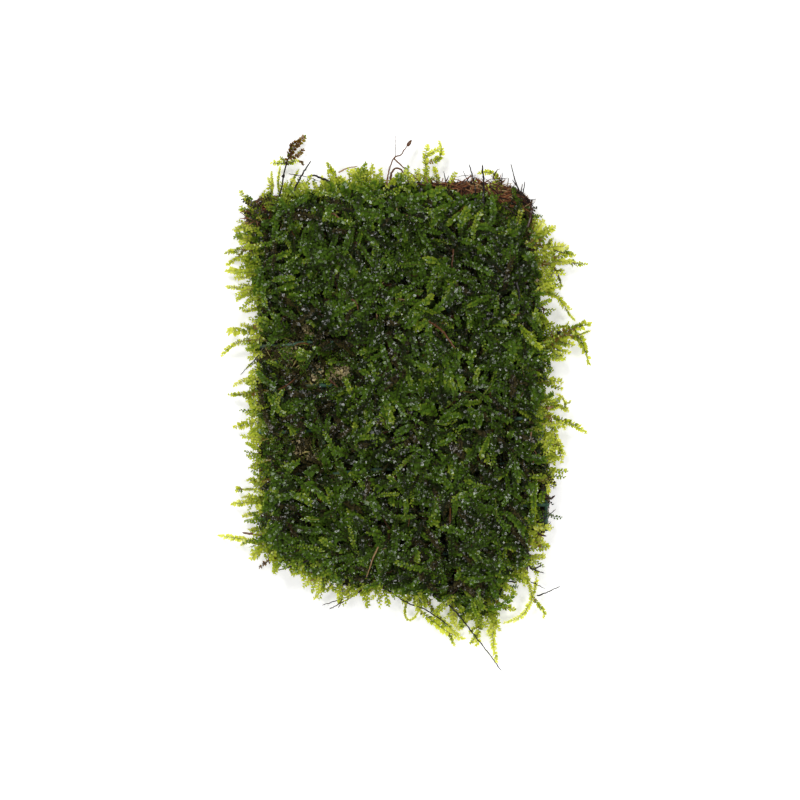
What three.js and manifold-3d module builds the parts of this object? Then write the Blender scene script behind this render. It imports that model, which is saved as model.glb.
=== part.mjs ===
// Weeping moss grown through a piece of plastic-coated wire mesh on a felted coir pad.
// Millimetres, +Z up. The origin is the middle of the pad's underside, +Y runs along its long side.

import * as THREE from 'three';
import { mergeVertices } from 'three/addons/utils/BufferGeometryUtils.js';
import Module from 'manifold-3d';

const wasm = await Module();
wasm.setup();

// Driving dimensions

const GAP = 0.3; // clearance between neighbouring pieces

const PAD_THICKNESS = 7;
const PAD_ROUNDING = 0.9;
const PAD_OUTLINE_STEPS = 40;

const MESH_PITCH = 12.7; // half-inch mesh
const STRAND_DIAMETER = 1.1; // with its plastic coat
const STRAND_SIDES = 6;
const WELD_DEPTH = 0.15; // how far the cross strands are sunk into the long ones
const RIGHT_STRAND_X = 40.7;
const TOP_STRAND_Y = 52.6;

const MOSS_TOP = 12.6;
const RIM_TOP = 10.9;
const RIM_UNDERSIDE = 5.4;
const RIM_WIDTH = 4;
const RIM_TUCK = 0.985; // the rim's upper and lower edges are tucked in to make it round
const WORN_SIDES = 9;
const TONGUE_DROOP = 0.55; // fall per millimetre beyond the pad
const LOWEST_MOSS = 1;
const MOSS_CELLS_X = 10;
const MOSS_CELLS_Y = 16;
const MESH_OVERHANG = 1.2; // the moss keeps this far from the pad's edge, past the ends of the strands

const LEAF_STEP = 3; // from a leaf tooth to the notch after it
const LEAF_NOTCH = 0.55; // width at a notch over the width at a tooth
const SPRIG_SIDES = 3; // a flat blade with a keel below
const SPRIG_FLATNESS = 0.62;
const SPRIG_ROOM = 3.6 * GAP; // added to a corner's reach, it clears the faces by a gap
const ROOT_WIDTH = 0.6; // share of the full width at the root
const TIP_WIDTH = 0.3;
const TAPER = 2.4; // how fast the ends widen to the full width
const TWIG_SIDES = 4;
const TWIG_STEP = 4.5;
const TWIG_ROOM = 1.7 * GAP;

const CARPET_SPRIGS = 16;
const RIM_SPRIGS = 14;

// The pad is a rectangle of 84 by 116 cut by hand, with its two lower corners taken off
const PAD_OUTLINE = [
  [-41.3, 53], [-38, 56.4], [-30, 57.4], [-15, 58], [0, 58.3], [12, 58.5], [22, 58.2], [31, 57.2],
  [37.5, 54.8], [40.4, 51], [41.6, 43], [41.6, 25], [41.5, 5], [41.8, -15], [42, -32], [41.6, -42],
  [39, -45.5], [35, -47.6], [34, -51], [33.6, -54], [27, -56.8], [14, -57.6], [0, -57.8],
  [-13, -57], [-22, -55], [-31, -51.2], [-38, -47.4], [-41.6, -43], [-42, -28], [-41.4, -8],
  [-41.1, 12], [-41, 32],
];

// The mesh was snipped to the pad: lower and upper end of each long strand, from right to left
const LONG_STRAND_ENDS = [[-44, 50.2], [-53.4, 56.4], [-54.2, 57], [-54.4, 57], [-53.6, 56.6], [-51.6, 56.2],
  [-45.6, 55]];
// Left and right end of each cross strand, from top to bottom
const CROSS_STRAND_ENDS = [[-39.6, 36.8], [-41.2, 41.6], [-41.2, 41.6], [-41.3, 41.6], [-41.6, 41.8],
  [-41.9, 42], [-42.2, 42], [-42.2, 41.8], [-32.6, 32.6]];

// Edges of the moss, left and right from bottom to top, lower and upper from left to right
const MOSS_LEFT = [[-41.6, -43.5], [-41.8, -37], [-41.6, -30], [-41.3, -23], [-40.8, -16], [-40.8, -9],
  [-41.2, -2], [-41.2, 5], [-39.9, 11], [-40.6, 17], [-39.3, 23], [-40.3, 30], [-41, 37], [-41, 45],
  [-39.8, 52.5]];
const MOSS_RIGHT = [[34.6, -53.6], [34.2, -47.6], [36.4, -42], [36.8, -35], [39.6, -29.5], [41.4, -23],
  [39.6, -16.5], [41.5, -9], [42.2, -2.5], [42.5, 4], [43.6, 10], [41.6, 17], [42.8, 25], [43, 32],
  [42, 39], [39.4, 45.6]];
const MOSS_LOWER = [[-41.6, -43.5], [-36, -47.8], [-29.5, -51.6], [-24, -55.2], [-15.5, -56.8], [-7, -57.9],
  [1, -59.8], [7.5, -61.8], [12.5, -65.2], [17, -68], [21, -67.6], [24.2, -62.6], [29, -57.2],
  [34.6, -53.6]];
const MOSS_UPPER = [[-39.8, 52.5], [-35, 55.6], [-28, 57], [-21, 58], [-14, 59.2], [-6, 60], [1, 58.4],
  [7, 59.4], [12.5, 59.4], [17.5, 56.4], [23, 54.6], [29, 55.4], [34.5, 50.5], [39.4, 45.6]];

// Places where the moss is worn away over the mesh: middle, half width, half height
const WORN_PATCHES = [
  [-32.2, 10, 5.6, 6.2], [-19, 7.8, 5.4, 5.2], [-27, -15.2, 4.4, 4.4], [-36.6, -14, 3, 5.4],
  [-20, -23.6, 4.6, 2.6], [34.4, 48.4, 6, 6.4], [35.4, -10.9, 2.6, 2.2], [38.4, -27, 2.6, 3.4],
  [38.2, -37, 3.4, 6.4], [-37.5, 51.5, 4, 3.4],
];

// Leafy shoots that trail past the edge. Each branch is its width, then its route from root to tip.
const SHOOTS = {
  left_shoot_1: [[2, [-37.4, 50.4, 10.8], [-39.3, 53.3, 10.2], [-41.6, 57, 8], [-43.5, 59.9, 5.2]]],
  left_shoot_2: [
    [1.8, [-38.4, 43.6, 10.7], [-41.2, 43.3, 10.2], [-45, 42.7, 7.2], [-49, 42.2, 3.4]],
    [1.4, [-43.4, 42.8, 8.6], [-45.5, 40.4, 6.4], [-48.9, 38.6, 3.4]],
  ],
  left_shoot_3: [
    [2, [-38.4, 35.6, 10.7], [-41, 36, 10.2], [-45, 36.5, 7], [-49, 37, 3.2]],
    [1.5, [-40.4, 35.4, 10.4], [-43.4, 34.6, 8.6], [-46.6, 34.6, 6.2]],
  ],
  left_shoot_4: [
    [1.4, [-38.2, 30.4, 10.7], [-40.8, 30.6, 10.1], [-44.5, 31.4, 7.4], [-49.3, 32.4, 3.2]],
    [1.3, [-42.6, 30.9, 8.8], [-44.7, 29.5, 7.2], [-46.3, 27.9, 5.6]],
  ],
  left_shoot_5: [
    [2.6, [-38.6, 19.4, 10.7], [-42, 19.2, 9.7], [-45.8, 19.1, 6.2], [-49.4, 19.2, 2.8]],
    [1.4, [-41.6, 19.8, 9.8], [-43.6, 20.6, 8.2], [-45.4, 20.9, 6.6]],
  ],
  left_shoot_6: [
    [1.5, [-38.4, 16.2, 10.8], [-42.2, 16.4, 9.6], [-46.1, 15.9, 6.2], [-49.8, 14.1, 3.6], [-51.8, 12.2, 2]],
  ],
  left_shoot_7: [[1.6, [-38.4, 5.3, 10.8], [-41.6, 5.1, 10], [-45.2, 4.7, 7], [-48.7, 3.2, 3.4]]],
  left_shoot_8: [[1.4, [-38.2, 1.2, 10.9], [-42.2, 0.8, 10.4], [-46.2, 0.7, 6.8], [-50.3, 0.7, 3]]],
  left_shoot_9: [[2.2, [-38.2, -7.2, 10.8], [-41, -7.5, 10.2], [-44.8, -8.2, 7.2], [-49.1, -9, 3]]],
  left_hook_shoot: [
    [1, [-38.6, -18.9, 10.8], [-41.2, -19.3, 10.4], [-43.6, -19.8, 8.8], [-44.4, -20.9, 7.9],
      [-43, -21.6, 7.4]],
  ],
  left_shoot_10: [
    [0.9, [-38.4, -27.7, 10.8], [-41, -27.5, 10.3], [-44.6, -27.3, 7.9], [-47.6, -27.2, 5]],
    [1.8, [-47.2, -27.2, 5.4], [-48.4, -27.2, 4.2], [-49.6, -27.2, 3]],
  ],
  left_shoot_11: [
    [1.9, [-38.4, -30.4, 10.7], [-41.6, -30.6, 10.1], [-44.9, -30.9, 7.8], [-51, -31.4, 2.6]],
    [0.9, [-42.4, -30.3, 9.6], [-44.8, -29.3, 8], [-48, -29.6, 5]],
  ],
  left_shoot_12: [
    [1.7, [-38.6, -43, 10.5], [-42, -43.2, 10], [-45.4, -42.4, 8], [-49.8, -41.4, 5], [-55.3, -40.4, 2.2]],
    [1.1, [-46.6, -42.1, 7.4], [-47.8, -43, 6.2], [-48.9, -43.5, 5.2]],
    [2.2, [-41, -43.4, 10], [-43.9, -45, 8.2], [-46, -47.6, 5]],
  ],
  orange_tipped_shoot: [
    [1.5, [-35.4, -45.6, 10.6], [-38.4, -47.4, 9.6], [-41.6, -48.8, 7.4], [-43.7, -50.3, 4.6]],
  ],
  looped_shoot: [
    [0.9, [-1.4, -57.6, 9], [-0.7, -61, 7], [-1.5, -63, 5.6], [-2, -65.2, 4.4], [-1.7, -67.4, 3.2],
      [-0.4, -68.1, 2.6], [1, -67, 2.4], [2, -65.4, 2.4]],
  ],
  lower_shoot_1: [
    [1, [0.8, -58, 8.8], [1.5, -61.6, 7], [2.2, -64.5, 5.6], [3.4, -66.4, 4.9]],
    [2.2, [2.6, -65.6, 5.2], [6.9, -69.4, 3.7], [10.7, -72.4, 2.7], [14.6, -74.3, 1.8]],
    [1.6, [4.8, -62.4, 7], [6.9, -66.7, 5.2], [10.5, -70.4, 3.6], [13.4, -73.2, 2.3]],
    [1.2, [10.5, -72.2, 2.8], [11.3, -74.4, 2.2], [11.9, -76.2, 1.7]],
  ],
  lower_shoot_2: [
    [2, [19.6, -65.4, 6.4], [19.5, -68.4, 5.2], [19.3, -72, 3.6], [18.4, -76.5, 1.8]],
    [1.3, [19.2, -72.6, 3.3], [17.9, -74.4, 2.6], [16.8, -75.8, 2]],
    [1.3, [19.4, -70.4, 4.2], [17.8, -71.6, 3.4], [16.6, -72.6, 2.9]],
  ],
  lower_shoot_3: [
    [2, [20.8, -63.4, 5.8], [23.2, -67.2, 5.2], [23.8, -70.4, 4.5], [23.3, -74, 3.2], [23.6, -78, 2.2],
      [24.1, -81.4, 1.4]],
    [1.6, [23.6, -69.2, 4.9], [24.6, -70.8, 4.4], [25.4, -72.2, 3.8]],
    [1.4, [23.6, -70.4, 4.4], [22.5, -72, 3.7], [21.8, -73.4, 3.2]],
  ],
  lower_chain_shoot: [
    [1.6, [32.8, -52.4, 10.6], [33.6, -55.5, 9.2], [34.4, -58.2, 7.4], [35.1, -61.1, 5.8], [35.3, -63.4, 4.8],
      [34.4, -65.4, 4], [32.5, -68.1, 3], [30.2, -69.5, 2.5], [27, -70.3, 2.1]],
    [1.4, [35.4, -62.8, 5], [36.6, -64.8, 4], [38.7, -67.6, 2.6], [38.6, -69.5, 1.8]],
    [1.2, [35.4, -63, 4.9], [36.5, -60.2, 6], [36.9, -57.4, 6.8]],
  ],
  brown_frond: [
    [0.8, [-32.8, 56.2, 10.6], [-31.9, 59.9, 8.6], [-30.6, 63.6, 6.4], [-29.6, 66.8, 5]],
    [1.9, [-29.8, 66.2, 5.2], [-28.6, 69.8, 4], [-27.1, 71.6, 3.4], [-25.6, 73, 2.8], [-24, 74.9, 2]],
    [1, [-29.4, 67.2, 4.9], [-31.6, 67.5, 4.4], [-34.1, 67.7, 3.6]],
    [0.8, [-29.6, 67, 4.9], [-30.6, 68.4, 4.3], [-31.5, 69.3, 3.8]],
    [1.3, [-28.8, 68.8, 4.3], [-26.6, 69.2, 3.6], [-24.6, 70.7, 2.8]],
    [1, [-29.6, 66.6, 5], [-28.3, 67.4, 4.6], [-26.6, 67.7, 4.2], [-25.2, 66.4, 3.4]],
    [0.9, [-32.3, 58.8, 9.1], [-32.9, 61.8, 7.4], [-32.2, 65.2, 5]],
  ],
  top_shoot_1: [[0.9, [-30.2, 56.8, 10.7], [-28.9, 60.6, 8.2], [-27.1, 63.8, 5.9], [-26.2, 65.4, 4.8]]],
  top_shoot_2: [[2, [-12.6, 57.4, 10.2], [-14.5, 61.2, 8.2], [-16.4, 64.2, 5.8], [-17.9, 66.9, 3.6]]],
  top_shoot_3: [[1.4, [-8.2, 58, 10.4], [-8, 60.6, 9], [-9.3, 62.6, 7.4], [-10.8, 64.4, 5.6]]],
  top_shoot_4: [[1.1, [-5.3, 58.6, 10.5], [-5.5, 61.8, 9], [-4.7, 65.5, 6.2]]],
  forked_shoot: [
    [1.8, [11.9, 57.4, 10.6], [11, 60.6, 9], [10.8, 64.9, 6.6], [10.9, 67, 5.6], [11.7, 70.6, 3.6]],
    [1.7, [11, 65.4, 6.3], [13.4, 65.7, 5.6], [15.2, 66.9, 4.8], [15.9, 68.4, 4.2], [15.3, 71.4, 3.2]],
    [1.5, [11, 66.6, 5.8], [12.7, 68.1, 5], [15.3, 69.4, 4.1]],
  ],
  top_shoot_5: [
    [1.6, [33.2, 53.6, 9.8], [32.2, 57.2, 9.4], [31.4, 60.2, 7.6], [29.8, 61.5, 6], [26.4, 61.6, 4.4]],
  ],
  corner_shoot: [[1.6, [36.1, 44.6, 11.4], [37.2, 47.8, 11], [37.8, 49.7, 10.4], [38.3, 51.3, 9.8]]],
  right_shoot_1: [
    [2, [41, 39.6, 11], [44.6, 39, 9.8], [47.6, 37.7, 7.6], [50.7, 36.6, 4.8], [53.1, 36.1, 2.8]],
    [1, [50, 36.8, 5.4], [50.9, 38, 4.6], [51.4, 39, 4]],
    [0.7, [48, 37.5, 7.2], [49.2, 38.6, 6.2], [50.1, 39.3, 5.4]],
    [1.2, [44.8, 39, 9.7], [46, 40.3, 8.8], [46.9, 41.2, 8]],
  ],
  right_shoot_2: [
    [1.8, [41, 33.6, 11], [45.4, 34.2, 9], [50, 34.3, 5.2], [54, 33.6, 3], [56.6, 33.4, 1.8]],
    [1.3, [45.6, 34.2, 8.8], [45.8, 31.4, 7.4], [46, 29.2, 6.2]],
    [1.2, [45.8, 33, 8], [47.6, 31.8, 6.6], [49.6, 32, 4.8]],
    [0.9, [47.2, 31.9, 6.8], [48.1, 29.6, 5.2], [48.6, 28, 4], [48.3, 26.4, 3]],
  ],
  right_chain_shoot: [
    [1.8, [42.2, 25.6, 10.6], [46.6, 24.8, 8], [48.9, 21.7, 5.8], [51, 20.4, 4.2]],
    [0.9, [49.6, 20.8, 5.2], [50.8, 18.7, 4.6], [52.2, 17, 4.2]],
  ],
  right_spray: [
    [2.4, [41.8, 11, 10.9], [45, 11.8, 9.8], [48.5, 12.6, 8], [51.5, 12.6, 6.2], [53.4, 11.6, 5],
      [54.6, 8.4, 3.6], [55.6, 4.4, 2]],
    [2.4, [46.6, 12.4, 9], [49.6, 14, 7], [52.4, 14.8, 5.4], [54.9, 15.6, 4.2], [56.7, 15.9, 3.2]],
    [1, [53.4, 15, 4.8], [54.1, 16, 4.2], [54.7, 16.9, 3.6]],
    [0.9, [51.4, 12.2, 6.2], [53.7, 12.9, 5.6], [56.5, 13.9, 4.4]],
    [1.2, [52.6, 12.2, 5.6], [53.2, 10.6, 4.8], [53.4, 9, 4.2]],
    [2.4, [45.6, 11.8, 9.4], [48.8, 10.6, 7.6], [51.2, 9.8, 5.6]],
    [2.2, [43.4, 11.4, 10.2], [46.8, 8.6, 8.2], [49.9, 7.8, 6]],
    [2, [43, 11.2, 10.3], [45.2, 7.8, 8.8], [47.9, 6.7, 6.8]],
    [1, [44.6, 12.4, 9.8], [45.4, 14.4, 9], [47.2, 15.3, 8], [49.5, 15.5, 6.4], [50.2, 16.7, 5.6]],
    [0.8, [44.8, 13.2, 9.4], [44.4, 15.8, 8.4], [43.5, 18.2, 7.4]],
  ],
  right_shoot_3: [
    [2, [40.4, -0.2, 11], [43.5, -0.3, 9.8], [46.2, -0.5, 7.8], [47.3, -0.9, 6.6]],
    [1.6, [42.2, -0.6, 10.2], [44.9, -1.9, 8.6], [47.2, -2.8, 6.6]],
  ],
  right_shoot_4: [
    [1.2, [40.4, -7.8, 11], [43, -8, 9.9], [45.6, -7.9, 8.4], [48.7, -8.4, 6.2]],
    [1, [47.9, -8.3, 6.75], [48, -6.7, 6.9], [46.7, -4.9, 7.6], [45.4, -4.2, 8.2]],
    [0.7, [47.6, -7, 7], [49, -6.9, 6.2], [49.7, -6.3, 5.4]],
    [1.2, [46.4, -8, 8], [47.6, -8.9, 6.9], [48.9, -9.3, 5.8]],
    [1.2, [42.4, -5.8, 10.4], [44.4, -6.4, 9.2], [46.8, -8, 7.7]],
  ],
  right_lower_spray: [
    [1.9, [40.6, -10.8, 10.9], [43.6, -10.9, 9.8], [47.9, -12.3, 6.8], [51.1, -13.9, 4.2], [53.8, -16, 2]],
    [1.4, [44.8, -11, 8.9], [45.7, -12.6, 7.4], [46, -14, 6.2]],
    [1.3, [46.6, -11.8, 7.8], [47.2, -13.2, 6.6], [47.5, -14.5, 5.6]],
    [1.9, [42.8, -11, 10], [44, -13.6, 8.6], [44.7, -16.6, 7.2], [46.3, -20.5, 4.8], [47, -21.9, 3.8]],
    [1.9, [45, -18.4, 6.2], [45.8, -21.4, 4.9], [46.2, -24, 3.6]],
    [1.7, [44.4, -16.6, 7.2], [43.9, -19.8, 6.6], [43.7, -22.5, 6.1], [43.8, -24.6, 5.6]],
    [1.3, [44, -14.8, 8], [42.9, -17, 7.9], [42.6, -19.2, 7.8]],
  ],
  right_shoot_5: [
    [0.9, [36.4, -29.6, 11], [40.4, -28.4, 10.3], [44.2, -26.2, 8]],
    [1.4, [39, -28.8, 10.6], [41.7, -29.3, 9.8], [43.2, -28.9, 8.8]],
    [1.4, [40, -29, 10.5], [41.6, -30.8, 10], [41.7, -33, 9.6]],
  ],
  right_shoot_6: [
    [2, [33.4, -46, 11], [36.8, -46.9, 10.2], [39.2, -46.5, 8.6]],
    [2.2, [35.4, -46.8, 10.6], [38, -48.4, 9.6], [40.9, -48.7, 7.6]],
  ],
};

// Bare twigs, roots and bristles. Each length is its diameter, then its route.
const TWIGS = {
  leaning_twig: [[0.6, [-29, 55.2, 10.6], [-27.6, 59.6, 9.4], [-25, 64, 7.4], [-22.5, 67.8, 5.4]]],
  curved_dark_stem: [
    [0.8, [-15.8, 57.6, 10.8], [-17.2, 60.8, 9.2], [-19.4, 62.2, 7.8], [-21.8, 63.3, 6.8],
      [-23.6, 63.1, 6.2]],
  ],
  bud_stem: [
    [0.5, [-0.8, 57.4, 10.8], [-0.4, 61.6, 9.6], [1.6, 66.9, 7.6], [3.7, 67.9, 6.8], [4.9, 69.5, 6],
      [6, 70.8, 5.4]],
    [0.4, [1.7, 66.9, 7.5], [4.8, 63.9, 8], [7.4, 61.3, 8.8], [9.3, 59, 9.6]],
  ],
  brown_arch: [
    [0.7, [1.2, 57.6, 9.2], [0.5, 61.4, 7.9], [1.4, 63.6, 6.8], [2.6, 64.3, 6.4], [3.9, 63.4, 6.7],
      [4.9, 61.6, 7.6], [5.8, 59.2, 9]],
  ],
  long_bristle: [[0.5, [24.7, 52.6, 12], [24.9, 57.2, 10], [23.7, 64.2, 5.8]]],
  black_bristle: [[0.7, [26.9, 51, 13], [27.3, 55.5, 11.6], [27.5, 59.8, 9.4], [27.4, 63.9, 7]]],
  corner_bristles: [
    [0.45, [38.9, 51.6, 9], [38.3, 53.5, 8.9], [37.4, 56.5, 8.2], [36.4, 60.2, 7], [35.8, 63.9, 5.8]],
    [0.4, [38.3, 53.4, 8.9], [39, 55.8, 8.4], [39.6, 58.4, 7.4]],
    [0.4, [38.1, 54.4, 8.7], [38.4, 56, 8.3], [38.8, 57.7, 7.8]],
    [0.5, [38.2, 54, 8.8], [37, 55.7, 8.4], [36, 57, 8]],
    [0.4, [37.6, 56.2, 8.3], [36.7, 57.7, 7.9], [35.9, 59, 7.5]],
  ],
  brown_corner_stalk: [
    [0.9, [39.6, 44.8, 11], [40.6, 47.6, 10.8], [41, 49.8, 10.2], [40.8, 51.4, 9.7], [41.4, 52.9, 9.2]],
  ],
  mat_twig: [[0.9, [35.3, 28.9, 13.9], [35.9, 25.6, 14.2], [36.2, 22, 13.9]]],
  right_brown_twig: [
    [0.5, [40, 22.4, 11.2], [42, 21.5, 10.4], [44.4, 20.4, 8.8]],
    [0.4, [42.9, 21, 10], [42.9, 17.8, 9.4], [42.6, 15.6, 10.2]],
  ],
  brown_bark_bit: [[0.9, [39, -33.6, 9.4], [40.9, -34.2, 9.2], [42.4, -34.5, 8.8], [43.5, -33.7, 8.3]]],
  right_bristle: [[0.4, [39.8, -40.6, 9.2], [41.7, -39.1, 8.7], [43.5, -37.7, 8.1]]],
  lower_right_twigs: [
    [0.6, [34.6, -52.6, 9.4], [35.7, -54.9, 8.8], [38.6, -53.7, 7.6]],
    [0.45, [35.6, -54.7, 8.8], [37.2, -55.4, 8.4], [39.2, -56.2, 7.8]],
  ],
  lower_right_fibre: [[0.4, [36.8, -62.7, 4.9], [37.9, -62.6, 4.7], [40.2, -61.8, 3.8], [44, -60.4, 3]]],
  lower_left_twig: [
    [0.5, [-29.4, -48.6, 12], [-32.4, -49.9, 10.8], [-34.8, -50.5, 9.4], [-38.1, -51.2, 7], [-39.6, -51, 6]],
  ],
  brown_root: [[0.5, [-6.8, -53.7, 13], [-12.3, -56.9, 11], [-18.4, -60.8, 7], [-24.1, -63.6, 3.4]]],
  thin_root: [[0.4, [-12.8, -56.6, 9.6], [-14.8, -58.9, 8], [-20.7, -60.8, 3.8], [-26.1, -62.4, 1.8]]],
  black_root: [
    [0.5, [-9.4, -56.4, 11], [-1.6, -62.3, 8.8], [2.5, -64.3, 8], [4.7, -65.4, 7.4], [10.5, -70, 5]],
  ],
  long_black_root: [
    [0.45, [7.4, -60.8, 9.8], [12.9, -66.2, 8], [17.9, -73.2, 5.8], [22.9, -80.5, 3.4], [25.4, -84.4, 1.8]],
  ],
};

// The seed head at the end of the bud stem
const BUD = { middle: [6.5, 71.4, 5.2], length: 2.4, width: 1.2, turn: -0.65 };

// Short shoots grown in one with the moss: width, then route
const SHORT_SHOOTS = [
  [1.8, [-35.4, 54, 10.6], [-36.2, 57, 9], [-36.6, 59.4, 7.2]],
  [1.7, [-39, 49, 10.4], [-43, 49, 8.8], [-46.3, 48.7, 6.2]],
  [2, [-39, 45.6, 10], [-42.4, 46, 8.6], [-44.8, 46, 7]],
  [1.3, [-38.6, 25.2, 10.6], [-42, 25, 9], [-44.8, 24.9, 6.8]],
  [1.4, [-38.6, 11.4, 10], [-41, 12.4, 8.8], [-43, 12.6, 7.6]],
  [1.2, [-39, -3, 10.4], [-42.6, -2.6, 8.4], [-45, -1.4, 6.4]],
  [2, [-39, -12.8, 10.4], [-41.6, -13.4, 9], [-43.4, -13, 7.6]],
  [1.8, [-38.8, -24.8, 10.9], [-43, -25.2, 9.6], [-45.8, -24.4, 7]],
  [1.6, [-38.8, -33.8, 10.4], [-43, -34.2, 8.4], [-47.9, -35, 4.4]],
  [1.1, [-39.4, -38.4, 10.2], [-43, -38.6, 8.6], [-46.4, -39, 6.4]],
  [1.6, [-23, -53.4, 10], [-26, -57.6, 7.6], [-28.3, -60.2, 4.8]],
  [1.6, [-14.6, -55.6, 9.6], [-17.4, -58.2, 7.6], [-19.2, -59.4, 6.4]],
  [1.5, [-9, -56.6, 10], [-12, -58.6, 8], [-14.6, -59.6, 6]],
  [1.8, [22.4, -62, 8.4], [26, -65, 6], [30.2, -66.5, 3.2]],
  [1.6, [22, -59, 9], [26, -60, 7.4], [28.8, -60.4, 5.6]],
  [1.6, [11, -62.6, 8], [12.2, -66.6, 6.4], [12.6, -69, 5.2]],
  [0.9, [-35, 54.6, 10.4], [-34.2, 60, 8], [-34.2, 65.2, 5]],
  [1.3, [-20.6, 56.4, 10.4], [-21.2, 59, 8.8], [-22.2, 61.4, 7.2]],
  [1.8, [-18.6, 56.6, 8.6], [-19, 59.6, 6.6], [-19.6, 62.4, 4.4]],
  [1.4, [-2, 57.6, 10], [-2.4, 61.2, 8], [-2.2, 64.4, 5.6]],
  [1.7, [14.8, 57.4, 10.4], [14, 61, 8.4], [13.4, 63.8, 6.8]],
  [1.8, [38.4, 40, 11.4], [42.6, 41.6, 10], [45.1, 44.2, 7.8]],
  [2.2, [40.6, 28.8, 10.8], [43.4, 28.2, 9.6], [45.2, 27.4, 8]],
  [2, [33, -41, 11.2], [38, -42.2, 10.8], [42.3, -43, 8.4]],
  [1.4, [32.6, -50.4, 10.6], [36.2, -51.3, 9.8], [39.5, -51.8, 7.6]],
];

const MATERIALS = {
  coir: { color: '#4a2c1b', roughness: 0.85 },
  coatedWire: { color: '#1c3a34', roughness: 0.35 },
  moss: { color: '#3a4717', roughness: 0.6 },
  shoot: { color: '#8a9a2c', roughness: 0.5 },
  brownShoot: { color: '#6b5720', roughness: 0.6 },
  twig: { color: '#2c1d15', roughness: 0.6 },
};

const UP = new THREE.Vector3(0, 0, 1);
const vector = ([x, y, z = 0]) => new THREE.Vector3(x, y, z);

// The same seed gives the same moss each time
let seed = 20260;
function random(low, high) {
  seed = (seed * 1664525 + 1013904223) % 4294967296;
  return low + (high - low) * (seed / 4294967296);
}

function solid(geometry) {
  geometry.deleteAttribute('normal');
  geometry.deleteAttribute('uv');
  const merged = mergeVertices(geometry, 1e-5);
  const vertProperties = new Float32Array(merged.attributes.position.array);
  const triVerts = new Uint32Array(merged.index.array);
  return new wasm.Manifold(new wasm.Mesh({ numProp: 3, vertProperties, triVerts }));
}

function geometryOf(form) {
  const { vertProperties, triVerts } = form.getMesh();
  const geometry = new THREE.BufferGeometry();
  geometry.setAttribute('position', new THREE.BufferAttribute(vertProperties, 3));
  geometry.setIndex(new THREE.BufferAttribute(triVerts, 1));
  geometry.computeVertexNormals();
  return geometry;
}

const joined = (forms) => forms.reduce((whole, form) => whole.add(form));

// Coir pad

const flatCurve = (points) => new THREE.SplineCurve(points.map(([x, y]) => new THREE.Vector2(x, y)));
const padPoints = flatCurve([...PAD_OUTLINE, PAD_OUTLINE[0]]).getPoints(PAD_OUTLINE_STEPS).slice(0, -1);

function padForm(grown = 0, top = PAD_THICKNESS) {
  const geometry = new THREE.ExtrudeGeometry(new THREE.Shape(padPoints), {
    depth: top - 2 * PAD_ROUNDING,
    bevelThickness: PAD_ROUNDING,
    bevelSize: PAD_ROUNDING,
    bevelOffset: grown - PAD_ROUNDING,
    bevelSegments: 1,
  });
  return solid(geometry.translate(0, 0, PAD_ROUNDING));
}

// How far a place lies inside the pad's outline, negative outside it
function insetFromPad(x, y) {
  let nearest = Infinity;
  let inside = false;
  padPoints.forEach((start, i) => {
    const end = padPoints[(i + 1) % padPoints.length];
    const dx = end.x - start.x;
    const dy = end.y - start.y;
    const along = ((x - start.x) * dx + (y - start.y) * dy) / (dx * dx + dy * dy);
    const t = THREE.MathUtils.clamp(along, 0, 1);
    nearest = Math.min(nearest, Math.hypot(x - start.x - t * dx, y - start.y - t * dy));
    if (start.y > y !== end.y > y && x < start.x + (dx * (y - start.y)) / dy) inside = !inside;
  });
  return inside ? nearest : -nearest;
}

// Wire mesh: long strands on the pad, cross strands welded over them

const LONG_HEIGHT = PAD_THICKNESS + GAP + STRAND_DIAMETER / 2;
const CROSS_HEIGHT = LONG_HEIGHT + STRAND_DIAMETER - WELD_DEPTH;
const MOSS_UNDERSIDE = CROSS_HEIGHT + STRAND_DIAMETER / 2 + GAP;

function strand(length) {
  return new THREE.CylinderGeometry(STRAND_DIAMETER / 2, STRAND_DIAMETER / 2, length, STRAND_SIDES);
}

function meshForm() {
  const long = LONG_STRAND_ENDS.map(([low, high], i) =>
    strand(high - low).translate(RIGHT_STRAND_X - i * MESH_PITCH, (low + high) / 2, LONG_HEIGHT));
  const cross = CROSS_STRAND_ENDS.map(([left, right], i) =>
    strand(right - left).rotateZ(-Math.PI / 2)
      .translate((left + right) / 2, TOP_STRAND_Y - i * MESH_PITCH, CROSS_HEIGHT));
  return joined([...long, ...cross].map(solid));
}

// A leafy sprig is a flat rod along its route, toothed by its leaves and thin at its tip

function leafyRod([width, ...route], room = 0) {
  const curve = new THREE.CatmullRomCurve3(route.map(vector));
  const steps = Math.max(2, Math.round(curve.getLength() / LEAF_STEP));
  const geometry = new THREE.CylinderGeometry(1, 1, 1, SPRIG_SIDES, steps);
  const { position } = geometry.attributes;
  for (let i = 0; i < position.count; i++) {
    const along = THREE.MathUtils.clamp(position.getY(i) + 0.5, 0, 1);
    const tangent = curve.getTangentAt(along);
    const side = new THREE.Vector3().crossVectors(UP, tangent).normalize();
    const under = new THREE.Vector3().crossVectors(side, tangent);
    const tooth = Math.round(along * steps) % 2 ? 1 : LEAF_NOTCH;
    const taper = Math.min(1, ROOT_WIDTH + TAPER * along, TIP_WIDTH + TAPER * (1 - along));
    const reach = (width / Math.sqrt(3)) * tooth * taper + room;
    const place = curve.getPointAt(along)
      .addScaledVector(side, position.getX(i) * reach)
      .addScaledVector(under, position.getZ(i) * reach * SPRIG_FLATNESS)
      .addScaledVector(tangent, room * Math.trunc(2 * along - 1));
    position.setXYZ(i, place.x, place.y, place.z);
  }
  return solid(geometry);
}

// A twig is a round rod along its route

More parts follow.
